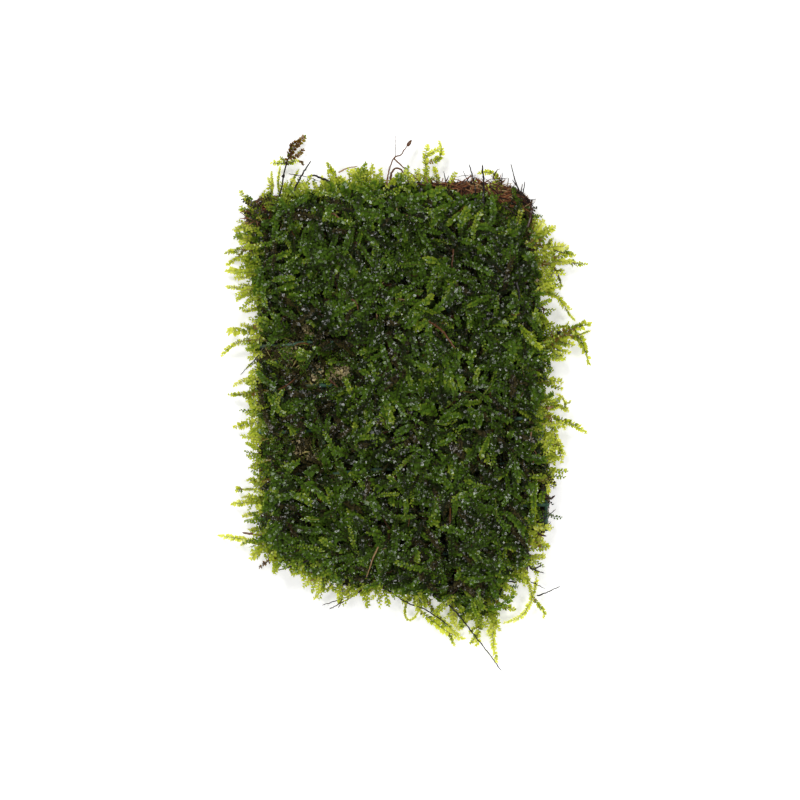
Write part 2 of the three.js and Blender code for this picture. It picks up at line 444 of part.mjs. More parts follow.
function twigRod([diameter, ...route], room = 0) {
  const points = route.map(vector);
  const lengthen = (end, beside) => end.add(end.clone().sub(beside).setLength(room));
  lengthen(points[0], points[1]);
  lengthen(points.at(-1), points.at(-2));
  const curve = new THREE.CatmullRomCurve3(points);
  const radius = diameter / 2 + room;
  const corners = Array.from({ length: TWIG_SIDES }, (_, i) =>
    new THREE.Vector2(radius, 0).rotateAround(new THREE.Vector2(), (2 * Math.PI * i) / TWIG_SIDES));
  return solid(new THREE.ExtrudeGeometry(new THREE.Shape(corners), {
    steps: Math.max(2, Math.round(curve.getLength() / TWIG_STEP)),
    extrudePath: curve,
    bevelEnabled: false,
  }));
}

function budForm() {
  const { middle, length, width, turn } = BUD;
  const geometry = new THREE.SphereGeometry(0.5, 6, 5).scale(width, length, width);
  return solid(geometry.rotateZ(turn).translate(...middle));
}

const shootForm = (branches, room) => joined(branches.map((branch) => leafyRod(branch, room)));

function twigForm(name, lengths, room) {
  const forms = lengths.map((length) => twigRod(length, room));
  if (name === 'bud_stem') forms.push(budForm());
  return joined(forms);
}

// Moss carpet

const mossEdges = [MOSS_LEFT, MOSS_RIGHT, MOSS_LOWER, MOSS_UPPER].map(flatCurve);
const [mossLeft, mossRight, mossLower, mossUpper] = mossEdges;

// A place in the moss from its share of the way across and up, by blending the four edges
function mossPlace(s, t) {
  const place = new THREE.Vector2()
    .addScaledVector(mossLeft.getPoint(t), 1 - s)
    .addScaledVector(mossRight.getPoint(t), s)
    .addScaledVector(mossLower.getPoint(s), 1 - t)
    .addScaledVector(mossUpper.getPoint(s), t);
  return place
    .addScaledVector(mossLower.getPoint(0), -(1 - s) * (1 - t))
    .addScaledVector(mossLower.getPoint(1), -s * (1 - t))
    .addScaledVector(mossUpper.getPoint(0), -(1 - s) * t)
    .addScaledVector(mossUpper.getPoint(1), -s * t);
}

// Crossing waves from 15 to 35 long give the lumps of the moss
function lumps(x, y) {
  return 1.1 * Math.sin(x / 4.7 + 0.6) * Math.sin(y / 5.9 - 1.2) + 0.7 * Math.sin(x / 2.6 + y / 3.9)
    + 0.6 * Math.sin(y / 2.3 - x / 6.1);
}

function mossTop(x, y) {
  const inset = insetFromPad(x, y);
  const rim = THREE.MathUtils.smoothstep(inset, 0, RIM_WIDTH);
  let top = THREE.MathUtils.lerp(RIM_TOP, MOSS_TOP + lumps(x, y), rim);
  if (inset < 0) top += TONGUE_DROOP * inset;
  return top;
}

function mossUnderside(x, y) {
  const inset = insetFromPad(x, y);
  if (inset > RIM_WIDTH / 2) return MOSS_UNDERSIDE;
  return Math.max(LOWEST_MOSS, RIM_UNDERSIDE + TONGUE_DROOP * Math.min(0, inset + 1));
}

function mossBase() {
  const geometry = new THREE.BoxGeometry(1, 1, 1, MOSS_CELLS_X, MOSS_CELLS_Y, 2);
  const { position } = geometry.attributes;
  for (let i = 0; i < position.count; i++) {
    const s = position.getX(i) + 0.5;
    const t = position.getY(i) + 0.5;
    const level = position.getZ(i) + 0.5;
    const { x, y } = mossPlace(s, t);
    const z = THREE.MathUtils.lerp(mossUnderside(x, y), mossTop(x, y), level);
    const atRim = Math.min(s, 1 - s, t, 1 - t) < 1e-6;
    const pull = atRim && level !== 0.5 ? RIM_TUCK : 1;
    position.setXYZ(i, x * pull, y * pull, z);
  }
  return solid(geometry);
}

// A worn place is a shallow bowl cut through the moss, with a sloping side
function wornRoom([x, y, halfWidth, halfHeight]) {
  const depth = 2 * (MOSS_TOP - PAD_THICKNESS);
  const geometry = new THREE.CylinderGeometry(1.2, 0.75, depth, WORN_SIDES).rotateX(Math.PI / 2);
  return solid(geometry.scale(halfWidth, halfHeight, 1).translate(x, y, MOSS_TOP));
}

// Small sprigs lie in all directions over the moss, and others hang over its rim
function carpetSprig() {
  const place = mossPlace(random(0.06, 0.94), random(0.05, 0.95));
  const turn = random(0, 2 * Math.PI);
  const half = random(3.4, 5);
  const point = (share, lift) => {
    const x = place.x + half * share * Math.cos(turn);
    const y = place.y + half * share * Math.sin(turn);
    return [x, y, mossTop(x, y) + lift];
  };
  return leafyRod([random(2.8, 3.6), point(-1, -0.7), point(0, 0.9), point(1, 0.5)]);
}

function rimSprig(i) {
  const round = (4 * (i + random(0.2, 0.8))) / RIM_SPRIGS;
  const share = round % 1;
  const [s, t] = [[share, 0], [1, share], [1 - share, 1], [0, 1 - share]][Math.floor(round)];
  const root = mossPlace(THREE.MathUtils.lerp(s, 0.5, 0.08), THREE.MathUtils.lerp(t, 0.5, 0.05));
  const brim = mossPlace(s, t);
  const out = brim.clone().sub(root).normalize().rotateAround(new THREE.Vector2(), random(-0.6, 0.6));
  const reach = random(0.8, 2.2);
  const tip = brim.clone().addScaledVector(out, reach);
  const rootTop = mossTop(root.x, root.y);
  const brimTop = mossTop(brim.x, brim.y);
  return leafyRod([random(1.9, 2.6), [root.x, root.y, rootTop], [brim.x, brim.y, brimTop - 0.3],
    [tip.x, tip.y, brimTop - 1.2 - 1.3 * reach]]);
}

const shoots = Object.entries(SHOOTS).map(([name, branches]) => ({
  name,
  form: shootForm(branches),
  room: shootForm(branches, SPRIG_ROOM),
}));
const twigs = Object.entries(TWIGS).map(([name, lengths]) => ({
  name,
  form: twigForm(name, lengths),
  room: twigForm(name, lengths, TWIG_ROOM),
}));

function mossCarpet() {
  const carpetSprigs = Array.from({ length: CARPET_SPRIGS }, carpetSprig);
  const rimSprigs = Array.from({ length: RIM_SPRIGS }, (_, i) => rimSprig(i));
  const grown = joined([mossBase(), ...carpetSprigs, ...rimSprigs, ...SHORT_SHOOTS.map((s) => leafyRod(s))]);
  const room = joined([padForm(MESH_OVERHANG, MOSS_UNDERSIDE), ...WORN_PATCHES.map(wornRoom),
    ...shoots.map((s) => s.room), ...twigs.map((t) => t.room)]);
  // The cuts leave a few loose crumbs at the rim, and the moss is the largest piece
  return grown.subtract(room).decompose().reduce((a, b) => (a.volume() > b.volume() ? a : b));
}

// The assembly

const group = new THREE.Group();

function place(name, form, look) {
  const mesh = new THREE.Mesh(geometryOf(form), new THREE.MeshStandardMaterial({ metalness: 0, ...look }));
  mesh.name = name;
  group.add(mesh);
}

place('coir_pad', padForm(), MATERIALS.coir);
place('support_mesh', meshForm(), MATERIALS.coatedWire);
place('moss_carpet', mossCarpet(), MATERIALS.moss);
for (const { name, form } of shoots) {
  place(name, form, name === 'brown_frond' ? MATERIALS.brownShoot : MATERIALS.shoot);
}
for (const { name, form } of twigs) place(name, form, MATERIALS.twig);

export default group;
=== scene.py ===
"""Weeping moss on a felted coir pad under coated wire mesh, lit in a plain studio and seen from above."""

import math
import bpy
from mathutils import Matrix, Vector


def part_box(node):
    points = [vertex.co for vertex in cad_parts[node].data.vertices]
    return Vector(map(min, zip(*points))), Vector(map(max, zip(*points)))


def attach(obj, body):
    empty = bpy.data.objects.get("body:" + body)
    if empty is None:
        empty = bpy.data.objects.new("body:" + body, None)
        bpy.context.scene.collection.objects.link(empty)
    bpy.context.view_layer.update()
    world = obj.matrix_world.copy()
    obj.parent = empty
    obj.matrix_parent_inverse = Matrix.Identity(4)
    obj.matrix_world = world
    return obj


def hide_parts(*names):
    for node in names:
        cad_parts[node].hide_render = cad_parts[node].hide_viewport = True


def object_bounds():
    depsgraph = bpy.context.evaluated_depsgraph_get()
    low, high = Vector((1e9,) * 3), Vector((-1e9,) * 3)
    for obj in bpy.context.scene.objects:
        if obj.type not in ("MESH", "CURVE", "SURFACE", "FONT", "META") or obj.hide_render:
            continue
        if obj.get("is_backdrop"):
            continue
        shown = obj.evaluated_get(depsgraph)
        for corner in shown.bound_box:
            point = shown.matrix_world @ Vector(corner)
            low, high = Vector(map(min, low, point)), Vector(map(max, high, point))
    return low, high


bl_info = {
    "name": "Weeping Moss Mat",
    "version": (1, 0, 0),
    "blender": (4, 5, 0),
    "location": "View3D > Sidebar > Moss Mat",
    "description": "Grows a mat of weeping moss over wire mesh and a coir pad, with a studio around it",
    "category": "Object",
}

import bmesh
import bpy
import numpy as np
from bpy.props import FloatProperty, FloatVectorProperty, IntProperty, PointerProperty
from mathutils import Matrix, Vector, noise

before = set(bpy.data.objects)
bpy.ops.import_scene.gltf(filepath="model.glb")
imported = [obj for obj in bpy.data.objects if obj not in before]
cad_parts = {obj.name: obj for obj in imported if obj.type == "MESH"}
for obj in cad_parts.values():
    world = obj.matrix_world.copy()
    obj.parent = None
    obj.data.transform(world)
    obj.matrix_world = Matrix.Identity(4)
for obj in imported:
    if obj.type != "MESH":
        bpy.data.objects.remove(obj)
CAD_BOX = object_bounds()

# Sizes and places are in millimetres, with +Y up the photograph along the pad, and become metres in a mesh
MM = 0.001
UP = np.array([0.0, 0.0, 1.0])
SEED = 20260

# The photograph: it looks straight down at the mat, which lies turned a little in it
PHOTO_WIDTH = 233.6
PHOTO_CENTRE = (-0.18, -3.5)
PHOTO_TURN = 3  # degrees
CAMERA_HEIGHT = 1300
SENSOR_WIDTH = 36

# The wire mesh: its strands lie over the pad, and the cross strands are sunk a little into the long ones
PAD_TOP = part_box("coir_pad")[1].z / MM
MESH_PITCH = 12.7
STRAND_DIAMETER = 1.1
STRAND_GAP = 0.3
WELD_RISE = 0.95
RIGHT_STRAND_X = 40.7
TOP_STRAND_Y = 52.6
LONG_HEIGHT = PAD_TOP + STRAND_GAP + STRAND_DIAMETER / 2
CROSS_HEIGHT = LONG_HEIGHT + WELD_RISE

# Heights of the moss over the floor: its top, its rim, how far in the rim reaches, and its worn patches
MOSS_TOP = 12.6
RIM_TOP = 10.6
RIM_WIDTH = 5
WORN_TOP = 7.6
TONGUE_DROOP = 0.55  # fall per millimetre beyond the pad
STEM_RADIUS = 0.16

# Tones run from 0, dark or dead, to 1, light or young, and in the moss they also carry painted light and
# shade; each material turns them into its own colours
MIDDLE_TONE = 0.5
DEAD_TONES = (0.02, 0.12)
DARKEST_LEAF = 0.14
LIGHTEST_LEAF = 0.62

# Distance from point to point of an outline once it is smooth
OUTLINE_STEP = 1.5

# The pad is a rectangle of 84 by 116 cut by hand, with its two lower corners taken off
PAD_OUTLINE = [
    (-41.3, 53), (-38, 56.4), (-30, 57.4), (-15, 58), (0, 58.3), (12, 58.5), (22, 58.2), (31, 57.2),
    (37.5, 54.8), (40.2, 51), (41.2, 43), (41, 25), (40.8, 5), (41, -15), (41, -32), (40.2, -41),
    (38.4, -44.8), (35, -47.4), (34, -51), (33.6, -54), (27, -56.8), (14, -57.6), (0, -57.8), (-13, -57),
    (-22, -55), (-31, -51.2), (-38, -47.4), (-41.4, -43), (-41.6, -28), (-41, -8), (-40.8, 6), (-39.8, 15),
    (-39.4, 23), (-40.2, 31), (-41, 40),
]

# Lower and upper end of each long strand, from right to left
LONG_STRAND_ENDS = [
    (-44, 50.2), (-53.4, 56.4), (-54.2, 57), (-54.4, 57), (-53.6, 56.6), (-51.6, 56.2), (-45.6, 55),
]
# Left and right end of each cross strand, from top to bottom
CROSS_STRAND_ENDS = [
    (-39.6, 36.8), (-41.2, 41.6), (-41.2, 41.6), (-41.3, 41.6), (-41.6, 41.8), (-41.9, 42), (-42.2, 42),
    (-42.2, 41.8), (-32.6, 32.6),
]

# Edges of the moss, left and right from bottom to top, lower and upper from left to right
MOSS_LEFT = [
    (-41.6, -43.5), (-41.8, -37), (-41.6, -30), (-41.3, -23), (-40.8, -16), (-40.8, -9), (-41.2, -2),
    (-41.2, 5), (-39.9, 11), (-40.6, 17), (-39.3, 23), (-40.3, 30), (-41, 37), (-41, 45), (-39.8, 52.5),
]
MOSS_RIGHT = [
    (34.6, -53.6), (34.2, -47.6), (36.4, -42), (36.8, -35), (39.6, -29.5), (41.4, -23), (39.6, -16.5),
    (41.5, -9), (42.2, -2.5), (42.5, 4), (43.6, 10), (41.6, 17), (42.8, 25), (43, 32), (42, 39), (39.4, 45.6),
]
MOSS_LOWER = [
    (-41.6, -43.5), (-36, -47.8), (-29.5, -51.6), (-24, -55.2), (-15.5, -56.8), (-7, -57.9), (1, -59.8),
    (7.5, -61.8), (12.5, -65.2), (17, -68), (21, -67.6), (24.2, -62.6), (29, -57.2), (34.6, -53.6),
]
MOSS_UPPER = [
    (-39.8, 52.5), (-35, 55.6), (-28, 57), (-21, 58), (-14, 59.2), (-6, 60), (1, 58.4), (7, 59.4),
    (12.5, 59.4), (17.5, 56.4), (23, 54.6), (29, 55.4), (34.5, 50.5), (39.4, 45.6),
]

# Places where the moss is worn away over the mesh: middle, half width, half height
WORN_PATCHES = [
    (-32.2, 10, 5.6, 6.2), (-19, 7.8, 5.4, 5.2), (-27, -15.2, 4.4, 4.4), (-36.6, -14, 3, 5.4),
    (-20, -23.6, 4.6, 2.6), (33.4, 48, 4, 4), (35.4, -10.9, 2.6, 2.2), (38.4, -27, 2.6, 3.4),
    (38.6, -34, 3, 4.6), (-37.5, 51.5, 4, 3.4), (-24, 2.4, 7, 2), (-33, 15.1, 5, 1.8), (-26, -23, 8, 1.8),
    (-35, -10.3, 4, 1.6), (-27, 18.2, 3.6, 2.4),
]

# The corner where thin moss creeps over the coir, and places where bits of husk lie bare, each as above
BARE_CORNER = (33.4, 48.4, 6.4, 4.6)
HUSK_PATCHES = [
    (-31.6, 4.6, 2.6, 1.6), (-32, 12, 3.4, 2.6), (-24.3, 6, 2.6, 2.4), (-17, 5.4, 4.4, 2.8),
    (-26.4, 17.8, 3, 2.2), (-30.6, -15, 2.8, 3), (-26.2, -18.8, 2, 1.8), (26.4, 21.6, 0.9, 0.8),
    (-9.8, -9, 0.8, 0.8), (-15.2, -22.7, 0.9, 0.7),
]

# Leafy shoots past the edge. Each branch is its width, then its route from root to tip.
SHOOTS = {
    "left_shoot_1": [[2, (-37.4, 50.4, 10.8), (-39.3, 53.3, 10.2), (-41.6, 57, 8), (-43.5, 59.9, 5.2)]],
    "left_shoot_2": [
        [1.8, (-38.4, 43.6, 10.7), (-41.2, 43.3, 10.2), (-45, 42.7, 7.2), (-49, 42.2, 3.4)],
        [1.4, (-43.4, 42.8, 8.6), (-45.5, 40.4, 6.4), (-48.9, 38.6, 3.4)],
    ],
    "left_shoot_3": [
        [2, (-38.4, 35.6, 10.7), (-41, 36, 10.2), (-45, 36.5, 7), (-49, 37, 3.2)],
        [1.5, (-40.4, 35.4, 10.4), (-43.4, 34.6, 8.6), (-46.6, 34.6, 6.2)],
    ],
    "left_shoot_4": [
        [1.4, (-38.2, 30.4, 10.7), (-40.8, 30.6, 10.1), (-44.5, 31.4, 7.4), (-49.3, 32.4, 3.2)],
        [1.3, (-42.6, 30.9, 8.8), (-44.7, 29.5, 7.2), (-46.3, 27.9, 5.6)],
    ],
    "left_shoot_5": [
        [2.6, (-38.6, 19.4, 10.7), (-42, 19.2, 9.7), (-45.8, 19.1, 6.2), (-49.4, 19.2, 2.8)],
        [1.4, (-41.6, 19.8, 9.8), (-43.6, 20.6, 8.2), (-45.4, 20.9, 6.6)],
    ],
    "left_shoot_6": [
        [1.5, (-38.4, 16.2, 10.8), (-42.2, 16.4, 9.6), (-46.1, 15.9, 6.2), (-49.8, 14.1, 3.6),
         (-51.8, 12.2, 2)],
    ],
    "left_shoot_7": [[1.6, (-38.4, 5.3, 10.8), (-41.6, 5.1, 10), (-45.2, 4.7, 7), (-48.7, 3.2, 3.4)]],
    "left_shoot_8": [[1.4, (-38.2, 1.2, 10.9), (-42.2, 0.8, 10.4), (-46.2, 0.7, 6.8), (-50.3, 0.7, 3)]],
    "left_shoot_9": [[2.2, (-38.2, -7.2, 10.8), (-41, -7.5, 10.2), (-44.8, -8.2, 7.2), (-49.1, -9, 3)]],
    "left_hook_shoot": [
        [1, (-38.6, -18.9, 10.8), (-41.2, -19.3, 10.4), (-43.6, -19.8, 8.8), (-44.4, -20.9, 7.9),
         (-43, -21.6, 7.4)],
    ],
    "left_shoot_10": [
        [0.9, (-38.4, -27.7, 10.8), (-41, -27.5, 10.3), (-44.6, -27.3, 7.9), (-47.6, -27.2, 5)],
        [1.8, (-47.2, -27.2, 5.4), (-48.4, -27.2, 4.2), (-49.6, -27.2, 3)],
    ],
    "left_shoot_11": [
        [1.9, (-38.4, -30.4, 10.7), (-41.6, -30.6, 10.1), (-44.9, -30.9, 7.8), (-51, -31.4, 2.6)],
        [0.9, (-42.4, -30.3, 9.6), (-44.8, -29.3, 8), (-48, -29.6, 5)],
    ],
    "left_shoot_12": [
        [1.7, (-38.6, -43, 10.5), (-42, -43.2, 10), (-45.4, -42.4, 8), (-49.8, -41.4, 5),
         (-55.3, -40.4, 2.2)],
        [1.1, (-46.6, -42.1, 7.4), (-47.8, -43, 6.2), (-48.9, -43.5, 5.2)],
        [2.2, (-41, -43.4, 10), (-43.9, -45, 8.2), (-46, -47.6, 5)],
    ],
    "orange_tipped_shoot": [
        [1.5, (-35.4, -45.6, 10.6), (-38.4, -47.4, 9.6), (-41.6, -48.8, 7.4), (-43.7, -50.3, 4.6)],
    ],
    "looped_shoot": [
        [0.9, (-1.4, -57.6, 9), (-0.7, -61, 7), (-1.5, -63, 5.6), (-2, -65.2, 4.4), (-1.7, -67.4, 3.2),
         (-0.4, -68.1, 2.6), (1, -67, 2.4), (2, -65.4, 2.4)],
    ],
    "lower_shoot_1": [
        [1, (0.8, -58, 8.8), (1.5, -61.6, 7), (2.2, -64.5, 5.6), (3.4, -66.4, 4.9)],
        [2.2, (2.6, -65.6, 5.2), (6.9, -69.4, 3.7), (10.7, -72.4, 2.7), (14.6, -74.3, 1.8)],
        [1.6, (4.8, -62.4, 7), (6.9, -66.7, 5.2), (10.5, -70.4, 3.6), (13.4, -73.2, 2.3)],
        [1.2, (10.5, -72.2, 2.8), (11.3, -74.4, 2.2), (11.9, -76.2, 1.7)],
    ],
    "lower_shoot_2": [
        [2, (19.6, -65.4, 6.4), (19.5, -68.4, 5.2), (19.3, -72, 3.6), (18.4, -76.5, 1.8)],
        [1.3, (19.2, -72.6, 3.3), (17.9, -74.4, 2.6), (16.8, -75.8, 2)],
        [1.3, (19.4, -70.4, 4.2), (17.8, -71.6, 3.4), (16.6, -72.6, 2.9)],
    ],
    "lower_shoot_3": [
        [2, (20.8, -63.4, 5.8), (23.2, -67.2, 5.2), (23.8, -70.4, 4.5), (23.3, -74, 3.2), (23.6, -78, 2.2),
         (24.1, -81.4, 1.4)],
        [1.6, (23.6, -69.2, 4.9), (24.6, -70.8, 4.4), (25.4, -72.2, 3.8)],
        [1.4, (23.6, -70.4, 4.4), (22.5, -72, 3.7), (21.8, -73.4, 3.2)],
    ],
    "lower_chain_shoot": [
        [1.6, (32.8, -52.4, 10.6), (33.6, -55.5, 9.2), (34.4, -58.2, 7.4), (35.1, -61.1, 5.8),
         (35.3, -63.4, 4.8), (34.4, -65.4, 4), (32.5, -68.1, 3), (30.2, -69.5, 2.5), (27, -70.3, 2.1)],
        [1.4, (35.4, -62.8, 5), (36.6, -64.8, 4), (38.7, -67.6, 2.6), (38.6, -69.5, 1.8)],
        [1.2, (35.4, -63, 4.9), (36.5, -60.2, 6), (36.9, -57.4, 6.8)],
    ],
    "brown_frond": [
        [0.5, (-32.8, 56.2, 10.6), (-31.4, 60, 9), (-30.7, 63.8, 6.6), (-29.9, 66.6, 5.2),
         (-29.2, 68.4, 4.6)],
        [2, (-29.8, 66.6, 5.2), (-28.8, 69.8, 4), (-27.2, 71.8, 3.4), (-25.7, 73.3, 2.8), (-24, 74.9, 2)],
        [1.6, (-29.2, 68.6, 4.6), (-28, 71, 4), (-26.6, 72.2, 3.6), (-25.6, 72.8, 3.2)],
        [1.3, (-28.2, 71.2, 4), (-28, 72.8, 3.4), (-26.8, 73.6, 3.2), (-25.6, 73.8, 3)],
        [1.5, (-28.8, 68.8, 4.3), (-26.8, 69.3, 3.6), (-25.4, 70.3, 3), (-24.6, 71.2, 2.6)],
        [0.8, (-26.4, 67.9, 4.2), (-25.2, 67.6, 4), (-24.9, 66.6, 3.6)],
        [1.5, (-29.4, 67.2, 5), (-31.6, 67.5, 4.5), (-34.1, 67.7, 3.7)],
        [1.1, (-29.6, 67, 5), (-30.6, 68.4, 4.4), (-31.5, 69.3, 3.9)],
        [1.4, (-29.6, 67, 5.1), (-28.3, 67.6, 4.7), (-26.4, 68, 4.3)],
        [0.9, (-32.3, 58.8, 9.1), (-32.3, 62.4, 7.4), (-31.6, 66.6, 5)],
    ],
    "top_shoot_1": [[0.9, (-30.2, 56.8, 10.7), (-28.9, 60.6, 8.2), (-27.1, 63.8, 5.9), (-26.2, 65.4, 4.8)]],
    "top_shoot_2": [[2, (-12.6, 57.4, 10.2), (-14.5, 61.2, 8.2), (-16.4, 64.2, 5.8), (-17.9, 66.9, 3.6)]],
    "top_shoot_3": [[1.4, (-8.2, 58, 10.4), (-8, 60.6, 9), (-9.3, 62.6, 7.4), (-10.8, 64.4, 5.6)]],
    "top_shoot_4": [[1.1, (-5.3, 58.6, 10.5), (-5.5, 61.8, 9), (-4.7, 65.5, 6.2)]],
    "forked_shoot": [
        [1.8, (11.9, 57.4, 10.6), (11, 60.6, 9), (10.8, 64.9, 6.6), (10.9, 67, 5.6), (11.7, 70.6, 3.6)],
        [1.7, (11, 65.4, 6.3), (13.4, 65.7, 5.6), (15.2, 66.9, 4.8), (15.9, 68.4, 4.2), (15.3, 71.4, 3.2)],
        [1.5, (11, 66.6, 5.8), (12.7, 68.1, 5), (15.3, 69.4, 4.1)],
    ],
    "top_shoot_5": [
        [1.6, (33.2, 53.6, 9.8), (32.2, 57.2, 9.4), (31.4, 60.2, 7.6), (29.8, 61.5, 6), (26.4, 61.6, 4.4)],
    ],
    "corner_shoot": [[1.6, (36.1, 44.6, 11.4), (37.2, 47.8, 11), (37.8, 49.7, 10.4), (38.3, 51.3, 9.8)]],
    "right_shoot_1": [
        [2, (41, 39.6, 11), (44.6, 39, 9.8), (47.6, 37.7, 7.6), (50.7, 36.6, 4.8), (53.1, 36.1, 2.8)],
        [1, (50, 36.8, 5.4), (50.9, 38, 4.6), (51.4, 39, 4)],
        [0.7, (48, 37.5, 7.2), (49.2, 38.6, 6.2), (50.1, 39.3, 5.4)],
        [1.2, (44.8, 39, 9.7), (46, 40.3, 8.8), (46.9, 41.2, 8)],
    ],
    "right_shoot_2": [
        [1.8, (41, 33.6, 11), (45.4, 34.2, 9), (50, 34.3, 5.2), (54, 33.6, 3), (56.6, 33.4, 1.8)],
        [1.3, (45.6, 34.2, 8.8), (45.8, 31.4, 7.4), (46, 29.2, 6.2)],
        [1.2, (45.8, 33, 8), (47.6, 31.8, 6.6), (49.6, 32, 4.8)],
        [0.9, (47.2, 31.9, 6.8), (48.1, 29.6, 5.2), (48.6, 28, 4), (48.3, 26.4, 3)],
    ],
    "right_chain_shoot": [
        [1.8, (42.2, 25.6, 10.6), (46.6, 24.8, 8), (48.9, 21.7, 5.8), (51, 20.4, 4.2)],
        [0.9, (49.6, 20.8, 5.2), (50.8, 18.7, 4.6), (52.2, 17, 4.2)],
    ],
    "right_spray": [
        [2.4, (41.8, 11, 10.9), (45, 11.8, 9.8), (48.5, 12.6, 8), (51.5, 12.6, 6.2), (53.4, 11.6, 5),
         (54.6, 8.4, 3.6), (55.6, 4.4, 2)],
        [2.4, (46.6, 12.4, 9), (49.6, 14, 7), (52.4, 14.8, 5.4), (54.9, 15.6, 4.2), (56.7, 15.9, 3.2)],
        [1, (53.4, 15, 4.8), (54.1, 16, 4.2), (54.7, 16.9, 3.6)],
        [0.9, (51.4, 12.2, 6.2), (53.7, 12.9, 5.6), (56.5, 13.9, 4.4)],
        [1.2, (52.6, 12.2, 5.6), (53.2, 10.6, 4.8), (53.4, 9, 4.2)],
        [2.4, (45.6, 11.8, 9.4), (48.8, 10.6, 7.6), (51.2, 9.8, 5.6)],
        [2.2, (43.4, 11.4, 10.2), (46.8, 8.6, 8.2), (49.9, 7.8, 6)],
        [2, (43, 11.2, 10.3), (45.2, 7.8, 8.8), (47.9, 6.7, 6.8)],
        [1, (44.6, 12.4, 9.8), (45.4, 14.4, 9), (47.2, 15.3, 8), (49.5, 15.5, 6.4), (50.2, 16.7, 5.6)],
        [0.8, (44.8, 13.2, 9.4), (44.4, 15.8, 8.4), (43.5, 18.2, 7.4)],
    ],
    "right_shoot_3": [
        [2, (40.4, -0.2, 11), (43.5, -0.3, 9.8), (46.2, -0.5, 7.8), (47.3, -0.9, 6.6)],
        [1.6, (42.2, -0.6, 10.2), (44.9, -1.9, 8.6), (47.2, -2.8, 6.6)],
    ],
    "right_shoot_4": [
        [1.2, (40.4, -7.8, 11), (43, -8, 9.9), (45.6, -7.9, 8.4), (48.7, -8.4, 6.2)],
        [1, (47.9, -8.3, 6.75), (48, -6.7, 6.9), (46.7, -4.9, 7.6), (45.4, -4.2, 8.2)],
        [0.7, (47.6, -7, 7), (49, -6.9, 6.2), (49.7, -6.3, 5.4)],
        [1.2, (46.4, -8, 8), (47.6, -8.9, 6.9), (48.9, -9.3, 5.8)],
        [1.2, (42.4, -5.8, 10.4), (44.4, -6.4, 9.2), (46.8, -8, 7.7)],
    ],
    "right_lower_spray": [
        [1.9, (40.6, -10.8, 10.9), (43.6, -10.9, 9.8), (47.9, -12.3, 6.8), (51.1, -13.9, 4.2),
         (53.8, -16, 2)],
        [1.4, (44.8, -11, 8.9), (45.7, -12.6, 7.4), (46, -14, 6.2)],
        [1.3, (46.6, -11.8, 7.8), (47.2, -13.2, 6.6), (47.5, -14.5, 5.6)],
        [1.9, (42.8, -11, 10), (44, -13.6, 8.6), (44.7, -16.6, 7.2), (46.3, -20.5, 4.8), (47, -21.9, 3.8)],
        [1.9, (45, -18.4, 6.2), (45.8, -21.4, 4.9), (46.2, -24, 3.6)],
        [1.7, (44.4, -16.6, 7.2), (43.9, -19.8, 6.6), (43.7, -22.5, 6.1), (43.8, -24.6, 5.6)],
        [1.3, (44, -14.8, 8), (42.9, -17, 7.9), (42.6, -19.2, 7.8)],
    ],
    "right_shoot_5": [
        [0.9, (36.4, -29.6, 11), (40.4, -28.4, 10.3), (44.2, -26.2, 8)],
        [1.4, (39, -28.8, 10.6), (41.7, -29.3, 9.8), (43.2, -28.9, 8.8)],
        [1.4, (40, -29, 10.5), (41.6, -30.8, 10), (41.7, -33, 9.6)],
    ],
    "right_shoot_6": [
        [2, (33.4, -46, 11), (36.8, -46.9, 10.2), (39.2, -46.5, 8.6)],
        [2.2, (35.4, -46.8, 10.6), (38, -48.4, 9.6), (40.9, -48.7, 7.6)],
    ],
}

